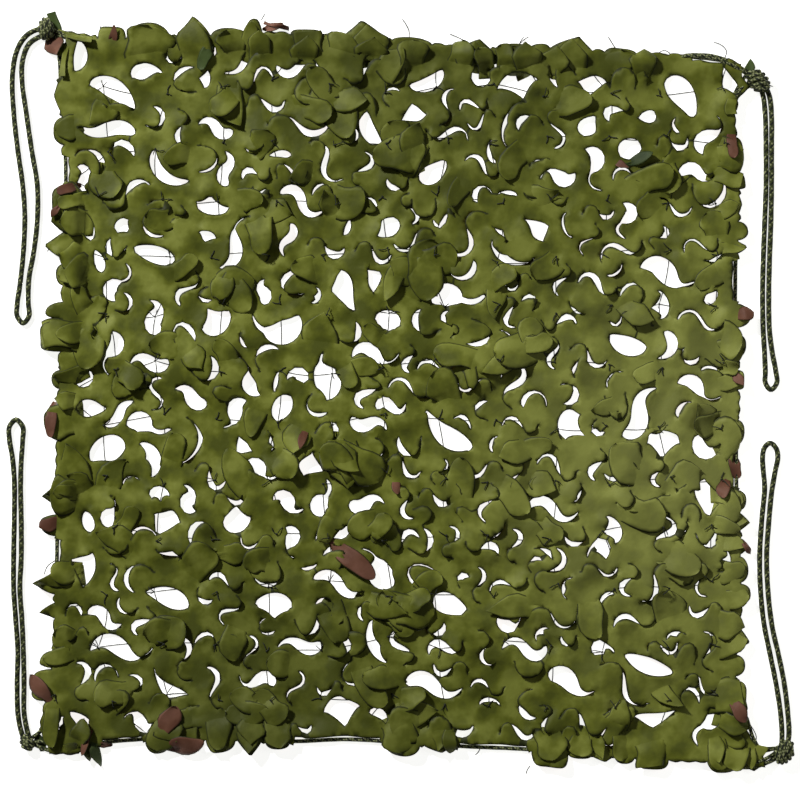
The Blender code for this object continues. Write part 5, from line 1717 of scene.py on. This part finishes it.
def stitchTails(draw):
    # the knot and the two short ends at each stitch, on the cloth
    lines, knots = [], []
    bend, count = threadSet["tailBend"], threadSet["tailPieces"]
    for x, y, angle in stitches:
        spot = np.array((x, y))
        top = max(float(heights.over(spot)), threadSet["height"]) + threadSet["over"]
        middle = Vector((x, y, top))
        reach = Vector((math.cos(angle), math.sin(angle), 0)) * threadSet["knot"] / 2
        knots.append([middle - reach, middle - reach * 0.5, middle + reach * 0.5, middle + reach])
        for hand in (-1, 1):
            length, turn = draw.uniform(*threadSet["tail"]), angle + hand * threadSet["tailTurn"]
            tail, here = [], middle.copy()
            for k in range(count + 1):
                tail.append(here.copy())
                turn += draw.uniform(-bend, bend)
                here += Vector((math.cos(turn), math.sin(turn), 0)) * length / count
                below = float(heights.over(np.array(here.xy)))
                here.z = max(below, threadSet["height"]) + threadSet["over"]
            lines.append(tail)
    return lines, knots


threadDraw = seeded(31)
threadBlack = threadMaterial()
tails, threadKnots = stitchTails(threadDraw)
loose = []
for route in threadSet["loose"]:
    line = layLine([place(x, y) for x, y in route], threadSet["looseHigh"],
                   threadSet["looseStep"])
    for k, spot in enumerate(line):
        spot.z -= threadSet["looseDrop"] * k / len(line)
    loose.append(line)
for name, lines, thick in (("net_mesh_threads", meshThreads(threadDraw) + tails,
                            threadSet["thick"]),
                           ("net_mesh_knots", threadKnots,
                            threadSet["knot"] * threadSet["knotThick"]),
                           ("loose_thread_ends", loose, threadSet["thick"])):
    dressPiece(threadMesh(name, lines, thick, threadSet["sides"]), threadBlack)
print("threads made")


# floor, world and light: a pale studio floor, a soft key from the upper left
studio = {
    "floor": "#f7f7f5", "grain": ("#f3f3f0", "#fbfbf9"), "glow": 0.92, "floorSize": 60.0,
    "backdrop": 29.0,           # radius of the pale backdrop
    "key": {"place": (-2.9, 3.2, 3.0), "size": 0.62, "watts": 279.0},
    "fill": {"place": (1.15, -0.05, 1.15), "size": 0.8, "watts": 2.6},
    "world": 0.043,
}
floorMaterial, floorTree, floorShader = startMaterial("pale_floor_paint")
grain = addNode(floorTree, "TexNoise", links={"Scale": 9.0, "Detail": 2.0})
floorTone = addNode(floorTree, "ValToRGB", links={"Fac": (grain, 0)})
for stop, colour in zip(floorTone.color_ramp.elements, studio["grain"]):
    stop.color = hexColour(colour)
floorTree.links.new(floorTone.outputs[0], floorShader.inputs["Base Color"])
floorShader.inputs["Roughness"].default_value = 0.9
floorShader.inputs["Emission Color"].default_value = hexColour(studio["floor"])
floorShader.inputs["Emission Strength"].default_value = studio["glow"]
half = studio["floorSize"] / 2
floorData = bpy.data.meshes.new("studio_floor")
floorData.from_pydata([(-half, -half, 0), (half, -half, 0), (half, half, 0), (-half, half, 0)],
                      [], [(0, 1, 2, 3)])
floorData.materials.append(floorMaterial)
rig.stage(addPiece("studio_floor", floorData))
# a pale backdrop all round, which the camera alone sees, so that it adds no light
dome = bmesh.new()
bmesh.ops.create_icosphere(dome, subdivisions=4, radius=studio["backdrop"])
backdropData = bpy.data.meshes.new("studio_backdrop")
dome.to_mesh(backdropData)
dome.free()
backdropData.materials.append(floorMaterial)
backdrop = addPiece("studio_backdrop", backdropData)
backdrop.visible_diffuse = backdrop.visible_glossy = backdrop.visible_shadow = False
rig.stage(backdrop)

for name in ("key", "fill"):
    lamp = bpy.data.lights.new(name, "AREA")
    lamp.shape = "DISK"
    lamp.size = studio[name]["size"]
    lamp.energy = studio[name]["watts"]
    light = addPiece(name, lamp)
    light.location = studio[name]["place"]
    light.rotation_euler = (-Vector(studio[name]["place"])).to_track_quat("-Z", "Y").to_euler()
    light.visible_camera = False
world = bpy.data.worlds.new("studio")
world.use_nodes = True
world.node_tree.nodes["Background"].inputs["Color"].default_value = (1, 1, 1, 1)
world.node_tree.nodes["Background"].inputs["Strength"].default_value = studio["world"]
bpy.context.scene.world = world
bpy.context.scene.view_settings.view_transform = "Standard"
print("studio made")

with open("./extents.json", "w") as handle:
    json.dump({"cad": [list(map(float, corner)) for corner in cadBox],
               "visual": [list(map(float, corner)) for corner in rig.bounds()]}, handle)
